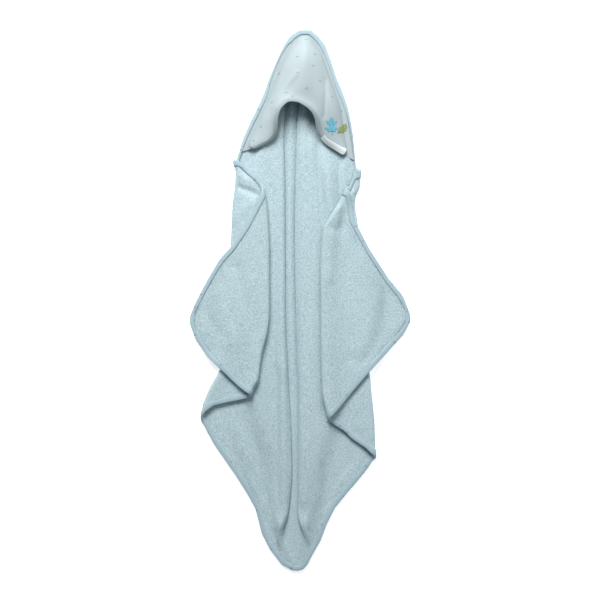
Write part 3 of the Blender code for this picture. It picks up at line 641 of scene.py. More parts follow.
# How the fine surfaces are divided
ROWS = 150  # of the towel, from hem to hem
PANEL_SPLIT = 5  # steps between two of the part's columns
TURN_SPLIT = 2  # the same in the turns and folds
TURNS = (PLEAT_KNOTS[1:3], PLEAT_KNOTS[3:5], (2, 3), (4, 5))  # columns between which the cloth turns
HOOD_DOWN_SPLIT = 6  # steps between two of the hood's rows
HOOD_ACROSS_SPLIT = 5  # and between two of its columns
HOOD_SOFTENING = 260  # rounds of evening the hood's heights and where its creases show
TAPE_STEPS = 4  # across a binding's face
NOSE_STEPS = 6  # round its fold
LABEL_STEPS = 8  # across the label
LEAF_RINGS = 5  # of each oval, from its middle out
LEAF_SPOKES = 20
STALK_STEPS = 8

# Finer sizes, in millimetres
SHIFT = (-1.0, 0.497, 0.0)  # from the tables' frame to the part's
TAPE_FACE = 0.88  # how much of its solid's width a binding takes up
TAPE_PUFF = 0.55  # how far a binding's face swells between its fold and its stitching
NOSE_PUFF = TAPE_PUFF * 0.4  # and how far its fold does
FACE_CURVE = 0.7  # below 1, that swelling starts more steeply than a sine
NOSE_INSIDE = 0.05  # radius of the fold's inner side
STITCH_SHARE = 0.78  # where the stitching runs, from the cloth's edge to the solid's inner edge
STITCH_OVER = SEAM + TAPE + TAPE_PUFF * 0.45  # its height over the cloth, a little into the swelling
STITCH_STEP = 2.6
STITCH_WIDTH = 0.5
STITCH_HEIGHT = 0.25
STITCH_PLACES = (0.14, 0.5, 0.86)  # start, middle and end of a stitch, as shares of its step
STITCH_FULL = 0.3  # of its length, from each end: where it is at its full width
STITCH_SINK = 0.1  # how far its ends lie in the cloth
STITCH_DEPTH = 0.2  # and its lower side
STITCH_SHORTEST = 0.3  # of its step; what a corner makes shorter is left out
LABEL_THICKNESS = 0.8
LABEL_OVER = LABEL_LIFT + TAPE_PUFF
LABEL_SHARP = 40  # edges of the label that turn by more degrees than this stay sharp
LEAF_HEIGHT = 0.7
LEAF_TAPER = 0.25  # how much narrower an oval is at its far end
LEAF_EDGE = 0.05  # height of what is sewn on or printed, at its edge
STALK_WIDTH = 1.2
RAY_START = 200.0  # a height over everything, from which leaves and marks are laid down on the hood
MARK_HEIGHT = 0.12
MARK_OVALS = ((-0.9, 4.4, 2.9, 25), (1.2, 3.6, 2.3, -20))  # of each mark: offset, length, width, turn
PILE = 0.25  # unevenness of the pile
PILE_SEED = 4
DRAW_TOP = (-1.0, 1.0)  # of the pile, on the upper face
DRAW_UNDER = (-0.4, 0.6)  # and on the lower face, which rests on the surface
MARKS_PER_METRE = 30.0  # in the binding's print

# Where creases show: in full along their lines, and none of them past CREASE_REACH half widths
CREASE_REACH = 3
CREASE_CLEAR = 12.0  # kept plain along a hem
CREASE_RAMP = 20.0  # and fading in over this length
HOOD_CLEAR_SEAM = 14.0  # kept plain along a seam of the hood
HOOD_CLEAR_RAMP = 12.0  # and fading in over this length
HOOD_CLEAR_ROWS = 8  # and over these rows at its opening
CREASE_LEAST = 0.01  # a share below this is left out

# The pleat's open end: below FOOT_START the cloth beside it stands a little over its valley
FOOT_START = -395.0
FOOT_RISE = 1.0
FOOT_RAMP = 34.0  # length over which that starts, and over which it falls again, away from the pleat
VALLEY_BANK = 8.0  # it rises over this width
VALLEY_TOP = 10.0  # and falls past this one
FOOT_HEM_CLEAR = 6.0  # none this near the hem
FOOT_HEM_RAMP = 18.0

# Colours, linear
TERRY_DARK = (0.35, 0.475, 0.52)
TERRY_LIGHT = (0.60, 0.705, 0.725)
# Painted shade: the hood front's inner terry, a darker copy of the towel's terry, stands in for the shade
# inside the hood
PAINTED_SHADE_INSIDE_DARK = (0.12, 0.23, 0.28)
PAINTED_SHADE_INSIDE_LIGHT = (0.22, 0.36, 0.42)
JERSEY_COLOUR = (0.40, 0.462, 0.478)
BINDING_COLOUR = (0.39, 0.505, 0.555)
MARK_COLOUR = (0.20, 0.28, 0.34)
THREAD_COLOUR = (0.50, 0.62, 0.68)
LABEL_COLOUR = (0.90, 0.93, 0.93)
BLUE = (0.17, 0.47, 0.60)
DARK_BLUE = (0.07, 0.30, 0.42)
OLIVE = (0.30, 0.33, 0.14)
DARK_OLIVE = (0.19, 0.22, 0.09)
FLOOR_COLOUR = (0.93, 0.93, 0.93)
WHITE = (1.0, 1.0, 1.0)
BLACK = (0.0, 0.0, 0.0)

# Light, floor and camera, in metres
FLOOR_HALF = 6.0  # half its side
FLOOR_HEIGHT = -0.0006  # just below the lowest loops
FLOOR_GLOW = 0.58  # its own light, so that it shows nearly white
WORLD_LIGHT = 0.22
WORLD_COLOUR = (0.80, 0.99, 1.06)
KEY_PLACE = (-0.35, 2.1, 1.9)
KEY_SIZE = 1.4
KEY_POWER = 101.0
FILL_PLACE = (1.4, 0.9, 2.2)
FILL_SIZE = 2.4
FILL_POWER = 14.0
CAMERA_HEIGHT = 6.3
FRAME_WIDTH = 1.132  # what the picture is wide at the surface
FRAME_X = -0.0001  # its centre
FRAME_Y = 0.0005

# Embroidered leaves: name, leaflets as (x, y, length, width, turn in degrees), stalk as (x, y, x, y)
LEAVES = (
    (
        "leaf_blue",
        (
            (60.0, 336.0, 14.0, 8.0, 90), (54.8, 332.5, 12.0, 6.6, 148), (65.4, 332.5, 12.0, 6.6, 32),
            (53.6, 323.0, 13.0, 6.8, 188), (66.4, 323.0, 13.0, 6.8, -8), (55.8, 318.6, 9.0, 6.0, 215),
            (64.4, 318.6, 9.0, 6.0, -35), (60.0, 325.5, 18.0, 9.0, 90),
        ),
        (60.0, 326.0, 62.2, 309.0),
    ),
    (
        "leaf_olive",
        (
            (81.0, 322.0, 22.0, 8.4, 42), (76.4, 321.6, 8.5, 5.0, 92), (81.4, 326.8, 8.5, 5.0, 88),
            (86.0, 329.6, 7.0, 4.4, 80), (79.4, 316.4, 8.5, 5.0, -8), (85.2, 320.2, 8.5, 5.0, -4),
            (88.0, 325.0, 6.0, 4.2, 4),
        ),
        (80.0, 321.0, 71.5, 313.4),
    ),
)

# Small printed marks on the hood front: (x, y, turn in degrees)
MARKS = (
    (12.3, 490.6, 10), (-3.8, 456.7, 0), (29.2, 462.3, -15), (25.5, 439.7, 30), (-2.8, 426.5, 5),
    (38.7, 411.4, -10), (13.2, 396.3, 20), (-24.5, 388.7, 0), (-12.3, 381.5, 12), (-38.7, 426.5, 60),
    (-72.6, 326.5, 80), (80.2, 356.6, 55), (-52.0, 372.0, 35), (62.0, 382.0, -30), (-86.0, 300.0, 15),
)

# Creases and soft ridges of each layer: height (below 0 for a trough), half width, line as (x, y) places
CREASES = {
    "towel": (
        (-2.0, 5.0, ((-40.5, -138), (-40.5, -330), (-36, -410))),
        (2.2, 8.0, ((-30, -120), (-29, -345), (-34, -430))),
        (1.4, 6.0, ((-35, 330), (-34, 100), (-30, -150))),
        (-1.6, 6.0, ((22, 320), (35, 302), (37, 232), (44, 145))),
        (2.0, 8.0, ((30, 322), (48, 300), (52, 236), (58, 170))),
        (1.6, 10.0, ((60, 240), (62, 90), (60, -140))),
        (1.8, 7.0, ((6, 330), (6, 120), (6, -200), (7, -380))),
        (-1.2, 10.0, ((-92, -205), (-74, -330), (-56, -440))),
        (1.6, 10.0, ((-120, -240), (-96, -330), (-66, -400))),
        (1.4, 10.0, ((46, -230), (38, -340), (24, -450))),
        (-1.2, 8.0, ((96, -300), (66, -330), (50, -390))),
        (-1.4, 3.0, ((80.5, 272), (73.6, 245), (76, 206))),
        (4.5, 5.0, ((90, 272), (83, 245), (85, 208))),
    ),
    "middle": (
        (-3.2, 7.0, ((-98, 256), (-76, 238))),
        (2.4, 7.0, ((-116, 238), (-84, 226))),
        (-4.0, 7.0, ((-118, 214), (-84, 200))),
        (1.6, 9.0, ((-124, 150), (-100, 178))),
        (-1.4, 9.0, ((-164, -194), (-120, -188))),
        (1.2, 10.0, ((84, -262), (116, -236))),
    ),
    "flap": (
        (-1.6, 12.0, ((-120, 60), (-88, -40), (-92, -130))),
        (1.6, 14.0, ((-150, 10), (-128, -80))),
        (-1.2, 8.0, ((-152, 78), (-132, 88), (-120, 60))),
        (-1.2, 10.0, ((-178, -20), (-150, -66))),
        (-2.0, 12.0, ((104, 130), (96, 60), (108, -20), (100, -110))),
        (1.8, 14.0, ((150, 60), (140, -20), (120, -90))),
        (-1.6, 11.0, ((168, 20), (150, -60), (120, -120))),
        (-2.0, 9.0, ((92, 146), (72, 132), (54, 138))),
        (2.0, 8.0, ((84, 190), (64, 130), (56, 40))),
    ),
    "hood": (
        (1.8, 6.0, ((-8.5, 496), (-27, 470), (-37, 423), (-42, 380))),
        (-1.8, 6.0, ((-24, 492), (-46, 440), (-60, 396))),
        (2.6, 5.0, ((-6, 424), (-28, 396), (-48, 364))),
        (-2.0, 7.0, ((-28, 424), (-46, 384), (-58, 352))),
        (-2.8, 4.6, ((48, 414), (48, 388), (46, 346))),
        (-1.6, 5.0, ((34, 470), (44, 436), (47, 408))),
        (1.0, 7.0, ((58, 410), (59, 384), (60, 340))),
        (1.8, 9.0, ((62, 400), (68, 350))),
        (-1.4, 9.0, ((-66, 362), (-84, 318))),
        (1.2, 10.0, ((8, 470), (12, 400))),
    ),
}

# First and last column that can be creased, of each of the towel's layers
LAYERS = {"towel": (1.0, 2.0), "middle": (3.0, 4.0), "flap": (5.0, 6.0)}


def fine_side_columns(side):
    """The part's columns, more finely. The last step to the corner stays whole: it carries the binding."""
    coarse = side_columns(side)
    fine = []
    for start, end in zip(coarse[:-2], coarse[1:-1]):
        times = TURN_SPLIT if any(low <= start < high for low, high in TURNS) else PANEL_SPLIT
        fine += [start + (end - start) * k / times for k in range(times)]
    return fine + coarse[-2:]


def crease(x, y, layer):
    """Height of a layer's creases at one plan place."""
    total = 0.0
    for height, width, line in CREASES[layer]:
        away = off_line(x, y, line)
        if away < CREASE_REACH * width:
            total += height * exp(-((away / width) ** 2))
    return total


def foot_rise(x, y):
    """How much the cloth beside the open end of the pleat stands over its valley."""
    outside = max(PLEAT_LEFT(y) - x, x - PLEAT_RIGHT(y))
    near = min(SIDES[side]["bottom_hem"].distance(x, y) for side in SIDES)
    beside_valley = smooth(outside / VALLEY_BANK) * (1 - smooth((outside - VALLEY_TOP) / FOOT_RAMP))
    below_start = smooth((FOOT_START - y) / FOOT_RAMP)
    return FOOT_RISE * beside_valley * below_start * smooth((near - FOOT_HEM_CLEAR) / FOOT_HEM_RAMP)


def fine_towel():
    """The towel's middle surface with its creases, as a fine grid."""
    rows = []
    for s in COLUMNS:
        side, q = side_of(s), abs(s)
        layer = next((name for name, (low, high) in LAYERS.items() if low <= q <= high), None)
        top, bottom = ends(side, q)
        line = []
        for t in column_rows(side, q):
            x, y, z = towel_at(side, q, t)
            if layer:
                near_hem = min(t, 1 - t) * (top - bottom)
                creased = crease(x, y, layer) * smooth((near_hem - CREASE_CLEAR) / CREASE_RAMP)
                z = max(z + creased, FLOOR_MID)
            if q <= 2 and y < FOOT_START:
                z += foot_rise(x, y)
            line.append((x, y, z))
        rows.append(line)
    return np.array(rows).swapaxes(0, 1)


def refined(grid, times):
    """A grid with extra rows on smooth curves through its own rows, without overshoot."""
    step = np.diff(grid, axis=0)
    slope = np.zeros_like(grid)
    slope[0], slope[-1] = step[0], step[-1]
    same = step[:-1] * step[1:] > 0
    slope[1:-1][same] = 2 * step[:-1][same] * step[1:][same] / (step[:-1] + step[1:])[same]
    t = (np.arange(times) / times).reshape((1, times) + (1,) * (grid.ndim - 1))
    low, high = grid[:-1, None], grid[1:, None]
    curves = low * (1 + 2 * t) * (1 - t) ** 2 + high * t * t * (3 - 2 * t)
    curves = curves + slope[:-1, None] * t * (1 - t) ** 2 - slope[1:, None] * t * t * (1 - t)
    return np.concatenate([curves.reshape((-1,) + grid.shape[1:]), grid[-1:]])


def soften(values):
    """Even out a grid of numbers, apart from the cells along its edges."""
    inside = slice(HOOD_DOWN_SPLIT, -HOOD_DOWN_SPLIT), slice(HOOD_ACROSS_SPLIT, -HOOD_ACROSS_SPLIT)
    inner = values[1:-1, 1:-1]
    for _ in range(HOOD_SOFTENING):
        beside = values[:-2, 1:-1] + values[2:, 1:-1] + values[1:-1, :-2] + values[1:-1, 2:]
        inner[inside] = (inner / 2 + beside / 8)[inside]


def fine_hood():
    """The hood front's middle surface with its creases, as a fine grid."""
    grid = refined(hood_grid(), HOOD_DOWN_SPLIT)
    grid = refined(grid.swapaxes(0, 1), HOOD_ACROSS_SPLIT).swapaxes(0, 1).copy()
    soften(grid[:, :, 2])
    rows, columns = grid.shape[:2]
    creased = np.zeros((rows, columns))  # how much of the creases each place shows
    for r in range(HOOD_DOWN_SPLIT, rows):
        for c in range(HOOD_ACROSS_SPLIT, columns - HOOD_ACROSS_SPLIT):
            inside = smooth((from_seam(*grid[r, c, :2]) - HOOD_CLEAR_SEAM) / HOOD_CLEAR_RAMP)
            creased[r, c] = inside * smooth((rows - 1 - r) / HOOD_CLEAR_ROWS)
    soften(creased)
    for r, c in np.argwhere(creased > CREASE_LEAST):
        grid[r, c, 2] += crease(*grid[r, c, :2], "hood") * creased[r, c]
    return grid


def hood_columns(first_and_last):
    """The fine hood's columns between two of the part's."""
    first, last = first_and_last
    return range(first * HOOD_ACROSS_SPLIT, last * HOOD_ACROSS_SPLIT + 1)


def placed(name, data, location=(0, 0, 0)):
    """A new object in the scene, in metres."""
    made = bpy.data.objects.new(name, data)
    made.location = location
    bpy.context.scene.collection.objects.link(made)
    return made


def mesh_object(name, points, faces, materials, face_materials=None):
    """A smooth-shaded piece that rides on the part, its faces turned outwards. Points are in millimetres."""
    mesh = bpy.data.meshes.new(name)
    moved = np.asarray(points) + np.array(SHIFT)
    mesh.from_pydata([tuple(float(c) * MM for c in p) for p in moved], [], faces)
    for item in materials:
        mesh.materials.append(item)
    if face_materials is not None:
        mesh.polygons.foreach_set("material_index", np.array(face_materials, dtype=np.int32))
    shell = bmesh.new()
    shell.from_mesh(mesh)
    bmesh.ops.recalc_face_normals(shell, faces=shell.faces)
    shell.to_mesh(mesh)
    shell.free()
    mesh.shade_smooth()
    made = placed(name, mesh)
    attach(made, "root")
    return made


def shell_faces(rows, columns):
    """Quads of a closed wall: its upper grid, its lower one and the four edges between them."""
    count = rows * columns
    at = np.arange(count).reshape(rows, columns)
    a, b, d, e = at[:-1, :-1], at[:-1, 1:], at[1:, :-1], at[1:, 1:]
    upper = np.stack([a, d, e, b], 2).reshape(-1, 4)
    lower = np.stack([a, b, e, d], 2).reshape(-1, 4) + count
    loop = np.concatenate([at[0, :-1], at[:-1, -1], at[-1, :0:-1], at[:0:-1, 0]])
    following = np.roll(loop, -1)
    rim = np.stack([loop, following, following + count, loop + count], 1)
    return upper, lower, rim


def wall_piece(name, points, normals, thickness, upper_look, lower_look, rough=0.0, lift=0.0):
    """A closed wall of one thickness on a grid of points, moved out along its normals by lift."""
    rows, columns = points.shape[:2]
    upper, lower, rim = shell_faces(rows, columns)
    draw = np.random.default_rng(PILE_SEED)
    top = points + normals * (lift + thickness / 2 + rough * draw.uniform(*DRAW_TOP, (rows, columns, 1)))
    under = points + normals * (lift - thickness / 2 + rough * draw.uniform(*DRAW_UNDER, (rows, columns, 1)))
    faces = [tuple(int(i) for i in f) for f in np.concatenate([upper, lower, rim])]
    looks = [0] * len(upper) + [1] * len(lower) + [0] * len(rim)
    both = [*top.reshape(-1, 3), *under.reshape(-1, 3)]
    return mesh_object(name, both, faces, [upper_look, lower_look], looks)


def tape_section(path, tangent, half, extra=0.0):
    """Outer and inner points of a soft tape folded over an edge. path holds (point, normal) of the cloth's
    middle from its edge inwards, half is half the cloth's thickness, and extra is what lies on the cloth."""
    edge, normal = path[0]
    out = unit(np.cross(tangent, normal))
    if out @ (edge - path[1][0]) < 0:
        out = -out
    near, far = half + SEAM, half + SEAM + TAPE
    shares = [k / TAPE_STEPS for k in range(1, TAPE_STEPS + 1)]
    spots = [spot_on(path, share * TAPE_FACE) for share in shares]
    puffs = [TAPE_PUFF * sin(pi * share) ** FACE_CURVE if share < 1 else 0.0 for share in shares]
    outer = [p + n * (far + extra + puff) for (p, n), puff in zip(spots[::-1], puffs[::-1])]
    inner = [p + n * (near + extra) for p, n in spots[::-1]]
    centre = edge + out * SEAM + normal * extra / 2
    for k in range(NOSE_STEPS + 1):
        turn = pi * (0.5 - k / NOSE_STEPS)
        outer.append(centre + out * (cos(turn) * TAPE) + normal * sin(turn) * (far + extra / 2 + NOSE_PUFF))
        inner.append(centre + out * (cos(turn) * NOSE_INSIDE) + normal * sin(turn) * (near + extra / 2))
    outer += [p - n * (far + puff) for (p, n), puff in zip(spots, puffs)]
    inner += [p - n * near for p, n in spots]
    return outer, inner


def spot_on(path, share):
    """(point, normal) at a share of the way along a path from the edge inwards."""
    place = share * (len(path) - 1)
    k = min(int(place), len(path) - 2)
    part = place - k
    (p, n), (p_next, n_next) = path[k], path[k + 1]
    return p + (p_next - p) * part, unit(n + (n_next - n) * part)


def tape_piece(name, sections, closed, look):
    """A tape through its sections: a closed ring, or a strip with both its ends filled."""
    size = len(sections[0][0])
    points, faces = [], []
    for outer, inner in sections:
        points += [*outer, *inner[::-1]]
    around = 2 * size
    count = len(sections)
    for k in range(count if closed else count - 1):
        a, b = k * around, (k + 1) % count * around
        for i in range(around):
            j = (i + 1) % around
            faces.append((a + i, a + j, b + j, b + i))
    for start in () if closed else (0, (count - 1) * around):
        last = start + around - 1
        faces += [(start + i, start + i + 1, last - 1 - i, last - i) for i in range(size - 1)]
    return mesh_object(name, points, faces, [look])


def sewn_over(path, tangent, half, extra=0.0):
    """A tape's section over an edge, and (point, normal) of its stitching on the upper and the lower face."""
    at, normal = spot_on(path, STITCH_SHARE)
    over = half + STITCH_OVER
    upper = at + normal * (over + extra), normal
    lower = at - normal * over, -normal
    return tape_section(path, tangent, half, extra), upper, lower


def stitch_piece(name, line, look):
    """A row of stitches along a closed or open line of (point, normal)."""
    points = np.array([p for p, _ in line])
    normals = np.array([n for _, n in line])
    run = run_along(points)
    made, faces = [], []
    for k in range(int(run[-1] / STITCH_STEP)):
        start_at, middle_at, end_at = ((k + share) * STITCH_STEP for share in STITCH_PLACES)
        start, end = read_at(start_at, run, points), read_at(end_at, run, points)
        normal = unit(read_at(middle_at, run, normals))
        way = end - start
        if np.linalg.norm(way) < STITCH_SHORTEST * STITCH_STEP:
            continue
        side = unit(np.cross(normal, way)) * STITCH_WIDTH / 2
        base = len(made)
        made.append(start - normal * STITCH_SINK)
        full = STITCH_FULL
        for spot in (start * (1 - full) + end * full, start * full + end * (1 - full)):
            made += [spot - side, spot + normal * STITCH_HEIGHT, spot + side, spot - normal * STITCH_DEPTH]
        made.append(end - normal * STITCH_SINK)
        for i in range(4):
            j = (i + 1) % 4
            faces.append((base, base + 1 + i, base + 1 + j))
            faces.append((base + 1 + i, base + 5 + i, base + 5 + j, base + 1 + j))
            faces.append((base + 9, base + 5 + j, base + 5 + i))
    return mesh_object(name, made, faces, [look])


def leaflet(points, faces, edges, surface, centre, length, width, turn, rise):
    """Adds one oval, domed and laid on the surface, as rings from its middle out. edges gets 1 for the faces
    of its last ring, which take a second look, and 0 for the others."""
    base = len(points)
    for ring in range(LEAF_RINGS + 1):
        reach = ring / LEAF_RINGS
        for spoke in range(LEAF_SPOKES):
            around = 2 * pi * spoke / LEAF_SPOKES
            u = cos(around) * reach * length / 2
            v = sin(around) * reach * width / 2 * (1 - LEAF_TAPER * cos(around))
            x = centre[0] + u * cos(turn) - v * sin(turn)
            y = centre[1] + u * sin(turn) + v * cos(turn)
            points.append(laid_on(surface, x, y, rise * (1 - reach**4) + LEAF_EDGE))
    for ring in range(LEAF_RINGS):
        for spoke in range(LEAF_SPOKES):
            a = base + ring * LEAF_SPOKES + spoke
            b = base + ring * LEAF_SPOKES + (spoke + 1) % LEAF_SPOKES
            faces.append((a, b, b + LEAF_SPOKES, a + LEAF_SPOKES))
            edges.append(1 if ring == LEAF_RINGS - 1 else 0)


def laid_on(surface, x, y, height):
    """The place at a height over the surface, at one plan point."""
    hit, normal, _, _ = surface.ray_cast((x, y, RAY_START), (0.0, 0.0, -1.0))
    return np.array(hit) + np.array(normal) * height


def stem(points, faces, edges, surface, start, end):
    """Adds a leaf's stalk, a low ridge between two plan places."""
    base = len(points)
    way = np.array(end, float) - np.array(start)
    side = np.array((-way[1], way[0])) / np.linalg.norm(way) * STALK_WIDTH / 2
    for k in range(STALK_STEPS + 1):
        at = np.array(start) + way * k / STALK_STEPS
        for across_share, height in ((-1, LEAF_EDGE), (0, LEAF_HEIGHT), (1, LEAF_EDGE)):
            x, y = at + side * across_share
            points.append(laid_on(surface, x, y, height))
    for k in range(STALK_STEPS):
        for i in range(2):
            a = base + k * 3 + i
            faces.append((a, a + 1, a + 4, a + 3))
            edges.append(1)


def set_inputs(node, values):
    """Sets a node's sockets to plain values; a colour is given without its alpha."""
    for socket, value in values.items():
        node.inputs[socket].default_value = (*value, 1) if isinstance(value, tuple) else value


def node_tree(name):
    """A new material, its node tree, its shader and its object coordinates."""
    made = bpy.data.materials.new(name)
    made.use_nodes = True
    tree = made.node_tree
    return made, tree, tree.nodes["Principled BSDF"], add(tree, "ShaderNodeTexCoord").outputs["Object"]


def add(tree, kind, **settings):
    """A new node with its settings."""
    node = tree.nodes.new(kind)
    for key, value in settings.items():
        setattr(node, key, value)
    return node


def texture(tree, kind, place, values, **settings):
    """The outputs of a texture node that is read at a place."""
    node = add(tree, kind, **settings)
    set_inputs(node, values)
    tree.links.new(place, node.inputs["Vector"])
    return node.outputs


def noise(tree, place, scale, detail, roughness):
    """Uneven values from 0 to 1."""
    values = {"Scale": scale, "Detail": detail, "Roughness": roughness}
    return texture(tree, "ShaderNodeTexNoise", place, values)["Fac"]


def ribs(tree, place, scale, distortion, direction):
    """Fine parallel lines, as values from 0 to 1."""
    values = {"Scale": scale, "Distortion": distortion}
    settings = {"wave_type": "BANDS", "bands_direction": direction}
    return texture(tree, "ShaderNodeTexWave", place, values, **settings)["Fac"]


def ramp(tree, value, low, high):
    """A colour that runs between two stops of (value, colour)."""
    node = add(tree, "ShaderNodeValToRGB")
    for element, (position, colour) in zip(node.color_ramp.elements, (low, high)):
        element.position, element.color = position, (*colour, 1)
    tree.links.new(value, node.inputs["Fac"])
    return node.outputs["Color"]


def mixed(tree, share, first, second, blend="MIX"):
    """Colour mix; share, first and second are sockets or plain values."""
    node = add(tree, "ShaderNodeMix", data_type="RGBA", blend_type=blend)
    for socket, value in zip((node.inputs[0], node.inputs[6], node.inputs[7]), (share, first, second)):
        if isinstance(value, bpy.types.NodeSocket):
            tree.links.new(value, socket)
        elif isinstance(value, tuple):
            socket.default_value = (*value, 1)
        else:
            socket.default_value = value
    return node.outputs[2]


def bumped(tree, shader, heights):
    """Chains bumps of (socket, strength, distance in metres) onto the shader."""
    normal = None
    for value, strength, distance in heights:
        node = add(tree, "ShaderNodeBump")
        node.inputs["Strength"].default_value = strength
        node.inputs["Distance"].default_value = distance
        tree.links.new(value, node.inputs["Height"])
        if normal is not None:
            tree.links.new(normal, node.inputs["Normal"])
        normal = node.outputs["Normal"]
    tree.links.new(normal, shader.inputs["Normal"])


def finished(tree, shader, colour, sheen_tint, roughness, sheen):
    """Sets the shader to cloth with the colour of a socket."""
    tree.links.new(colour, shader.inputs["Base Color"])
    set_inputs(
        shader,
        {
            "Roughness": roughness,
            "Specular IOR Level": 0.15,
            "Sheen Weight": sheen,
            "Sheen Roughness": 0.5,
            "Sheen Tint": sheen_tint,
        },
    )


def scaled(colour, share):
    """A colour made darker by a share below 1, or lighter by one above it."""
    return tuple(c * share for c in colour)


def terry_look(name, dark, light):
    """Looped pile: loops about 1.5 mm apart with dark gaps, in clumps, and slow changes of tone."""
    made, tree, shader, place = node_tree(name)
    loops = texture(tree, "ShaderNodeTexVoronoi", place, {"Scale": 640, "Randomness": 1.0})["Distance"]
    clumps = noise(tree, place, scale=400, detail=4, roughness=0.7)
    slow = noise(tree, place, scale=16, detail=3, roughness=0.5)
    tone = ramp(tree, clumps, (0.36, dark), (0.6, light))
    gaps = ramp(tree, loops, (0.25, WHITE), (0.75, (0.86, 0.88, 0.9)))
    worn = ramp(tree, slow, (0.35, (0.955, 0.965, 0.97)), (0.65, WHITE))
    colour = mixed(tree, 1.0, mixed(tree, 1.0, tone, gaps, "MULTIPLY"), worn, "MULTIPLY")
    finished(tree, shader, colour, light, roughness=0.95, sheen=0.3)
    bumped(tree, shader, [(clumps, 0.5, 0.0016), (loops, 0.3, 0.0008)])
    return made


def printed_over(tree, place, colour, mark):
    """Small sparse printed marks, speckled, over a colour."""
    flat = add(tree, "ShaderNodeVectorMath", operation="MULTIPLY")
    flat.inputs[1].default_value = (1.0, 1.25, 0.0)  # in plan, the marks closer together along y
    tree.links.new(place, flat.inputs[0])
    values = {"Scale": MARKS_PER_METRE, "Randomness": 0.75}
    spots = texture(tree, "ShaderNodeTexVoronoi", flat.outputs[0], values, voronoi_dimensions="2D")
    inside = ramp(tree, spots["Distance"], (0.07, WHITE), (0.1, BLACK))
    specks = noise(tree, place, scale=900, detail=2, roughness=0.6)
    speckle = ramp(tree, specks, (0.42, BLACK), (0.56, WHITE))
    return mixed(tree, mixed(tree, 1.0, inside, speckle, "MULTIPLY"), colour, mark)


def jersey_look(name, base, mark=None):
    """Smooth fine knit, with printed marks if their colour is given."""
    made, tree, shader, place = node_tree(name)
    knit = ribs(tree, place, scale=330, distortion=0.6, direction="X")
    slow = noise(tree, place, scale=22, detail=2, roughness=0.5)
    uneven = noise(tree, place, scale=60, detail=3, roughness=0.5)
    colour = ramp(tree, slow, (0.3, scaled(base, 0.965)), (0.7, base))
    if mark:
        colour = printed_over(tree, place, colour, mark)
    finished(tree, shader, colour, base, roughness=0.85, sheen=0.18)
    bumped(tree, shader, [(knit, 0.12, 0.0003), (uneven, 0.12, 0.002)])
    return made


def thread_look(name, base, scale, direction="X"):
    """Satin thread or a woven tape: close fine lines."""
    made, tree, shader, place = node_tree(name)
    lines = ribs(tree, place, scale, distortion=0.4, direction=direction)
    colour = ramp(tree, lines, (0.0, scaled(base, 0.82)), (0.6, base))
    finished(tree, shader, colour, base, roughness=0.5, sheen=0.15)
    bumped(tree, shader, [(lines, 0.35, 0.0003)])
    return made


def print_look(name, base):
    """A thin print on knit, a little uneven."""
    made, tree, shader, place = node_tree(name)
    wear = noise(tree, place, scale=700, detail=2, roughness=0.5)
    colour = ramp(tree, wear, (0.35, scaled(base, 1.5)), (0.6, base))
    finished(tree, shader, colour, base, roughness=0.9, sheen=0.1)
    return made


def floor_look():
    """A pale floor that glows a little."""
    made, _, shader, _ = node_tree("pale_floor")
    set_inputs(
        shader,
        {
            "Base Color": FLOOR_COLOUR,
            "Roughness": 0.9,
            "Emission Color": WHITE,
            "Emission Strength": FLOOR_GLOW,
        },
    )
    return made


def area_light(name, place, size, power):
    """A round light that faces the middle of the part."""
    light = bpy.data.lights.new(name, "AREA")
    light.shape = "DISK"
    light.size = size
    light.energy = power
    placed(name, light, place).rotation_euler = Vector(place).to_track_quat("Z", "Y").to_euler()


# The cloth's middle surfaces. The hood's seam follows the part's own columns, the towel has finer ones.
HOOD_CORNERS = {side: hood_corner_column(side) for side in SIDES}
COLUMNS = all_columns(fine_side_columns)
hood = fine_hood()
hood_normals = grid_normals(hood)
towel = fine_towel()
towel_normals = grid_normals(towel)

# Looks
terry = terry_look("terry_pile", TERRY_DARK, TERRY_LIGHT)
# a darker copy of the terry for the hood front's inner face: painted shade for the hollow under the hood
terry_inside_painted_shade = terry_look("terry_inside_painted_shade", PAINTED_SHADE_INSIDE_DARK, PAINTED_SHADE_INSIDE_LIGHT)
jersey = jersey_look("jersey_knit", JERSEY_COLOUR)
mark_print = print_look("printed_mark", MARK_COLOUR)
binding = jersey_look("binding_knit", BINDING_COLOUR, MARK_COLOUR)
rim_knit = jersey_look("rim_knit", JERSEY_COLOUR)
thread = thread_look("sewing_thread", THREAD_COLOUR, 900)
woven = thread_look("woven_tape", LABEL_COLOUR, 520, "Y")
blue = thread_look("blue_thread", BLUE, 560, "DIAGONAL")
dark_blue = thread_look("dark_blue_thread", DARK_BLUE, 560)
olive = thread_look("olive_thread", OLIVE, 560, "DIAGONAL")
dark_olive = thread_look("dark_olive_thread", DARK_OLIVE, 560)
leaf_looks = {"leaf_blue": [blue, dark_blue], "leaf_olive": [olive, dark_olive]}

# The towel
body = wall_piece("terry_towel", towel, towel_normals, TERRY, terry, terry, PILE)
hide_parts("towel_body")

# Its binding
places = hem_places()
edge_points = [towel[place] for place in places]
sewn = []
for k, (r, c) in enumerate(places):
    tangent = edge_points[(k + 1) % len(places)] - edge_points[k - 1]
    inner_place = min(max(r, 1), ROWS - 2), min(max(c, 1), len(COLUMNS) - 2)
    path = [(edge_points[k], towel_normals[r, c]), (towel[inner_place], towel_normals[inner_place])]
    extra = JERSEY + SEAM if r == 0 and under_hood(COLUMNS[c]) else 0.0
    sewn.append(sewn_over(path, tangent, TERRY / 2, extra))
sections, seam_line, under_line = zip(*sewn)
tape = tape_piece("bound_hem", sections, True, binding)
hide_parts("hem_binding")
seam_stitches = stitch_piece("hem_stitches", seam_line + seam_line[:1], thread)
under_stitches = stitch_piece("hem_stitches_under", under_line + under_line[:1], thread)

# The hood front, jersey outside and terry inside. The inner terry takes a darker copy of the terry's look:
# painted shade for the hollow under the hood
front = wall_piece("hood_jersey", hood, hood_normals, JERSEY, jersey, terry_inside_painted_shade)
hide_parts("hood_front")

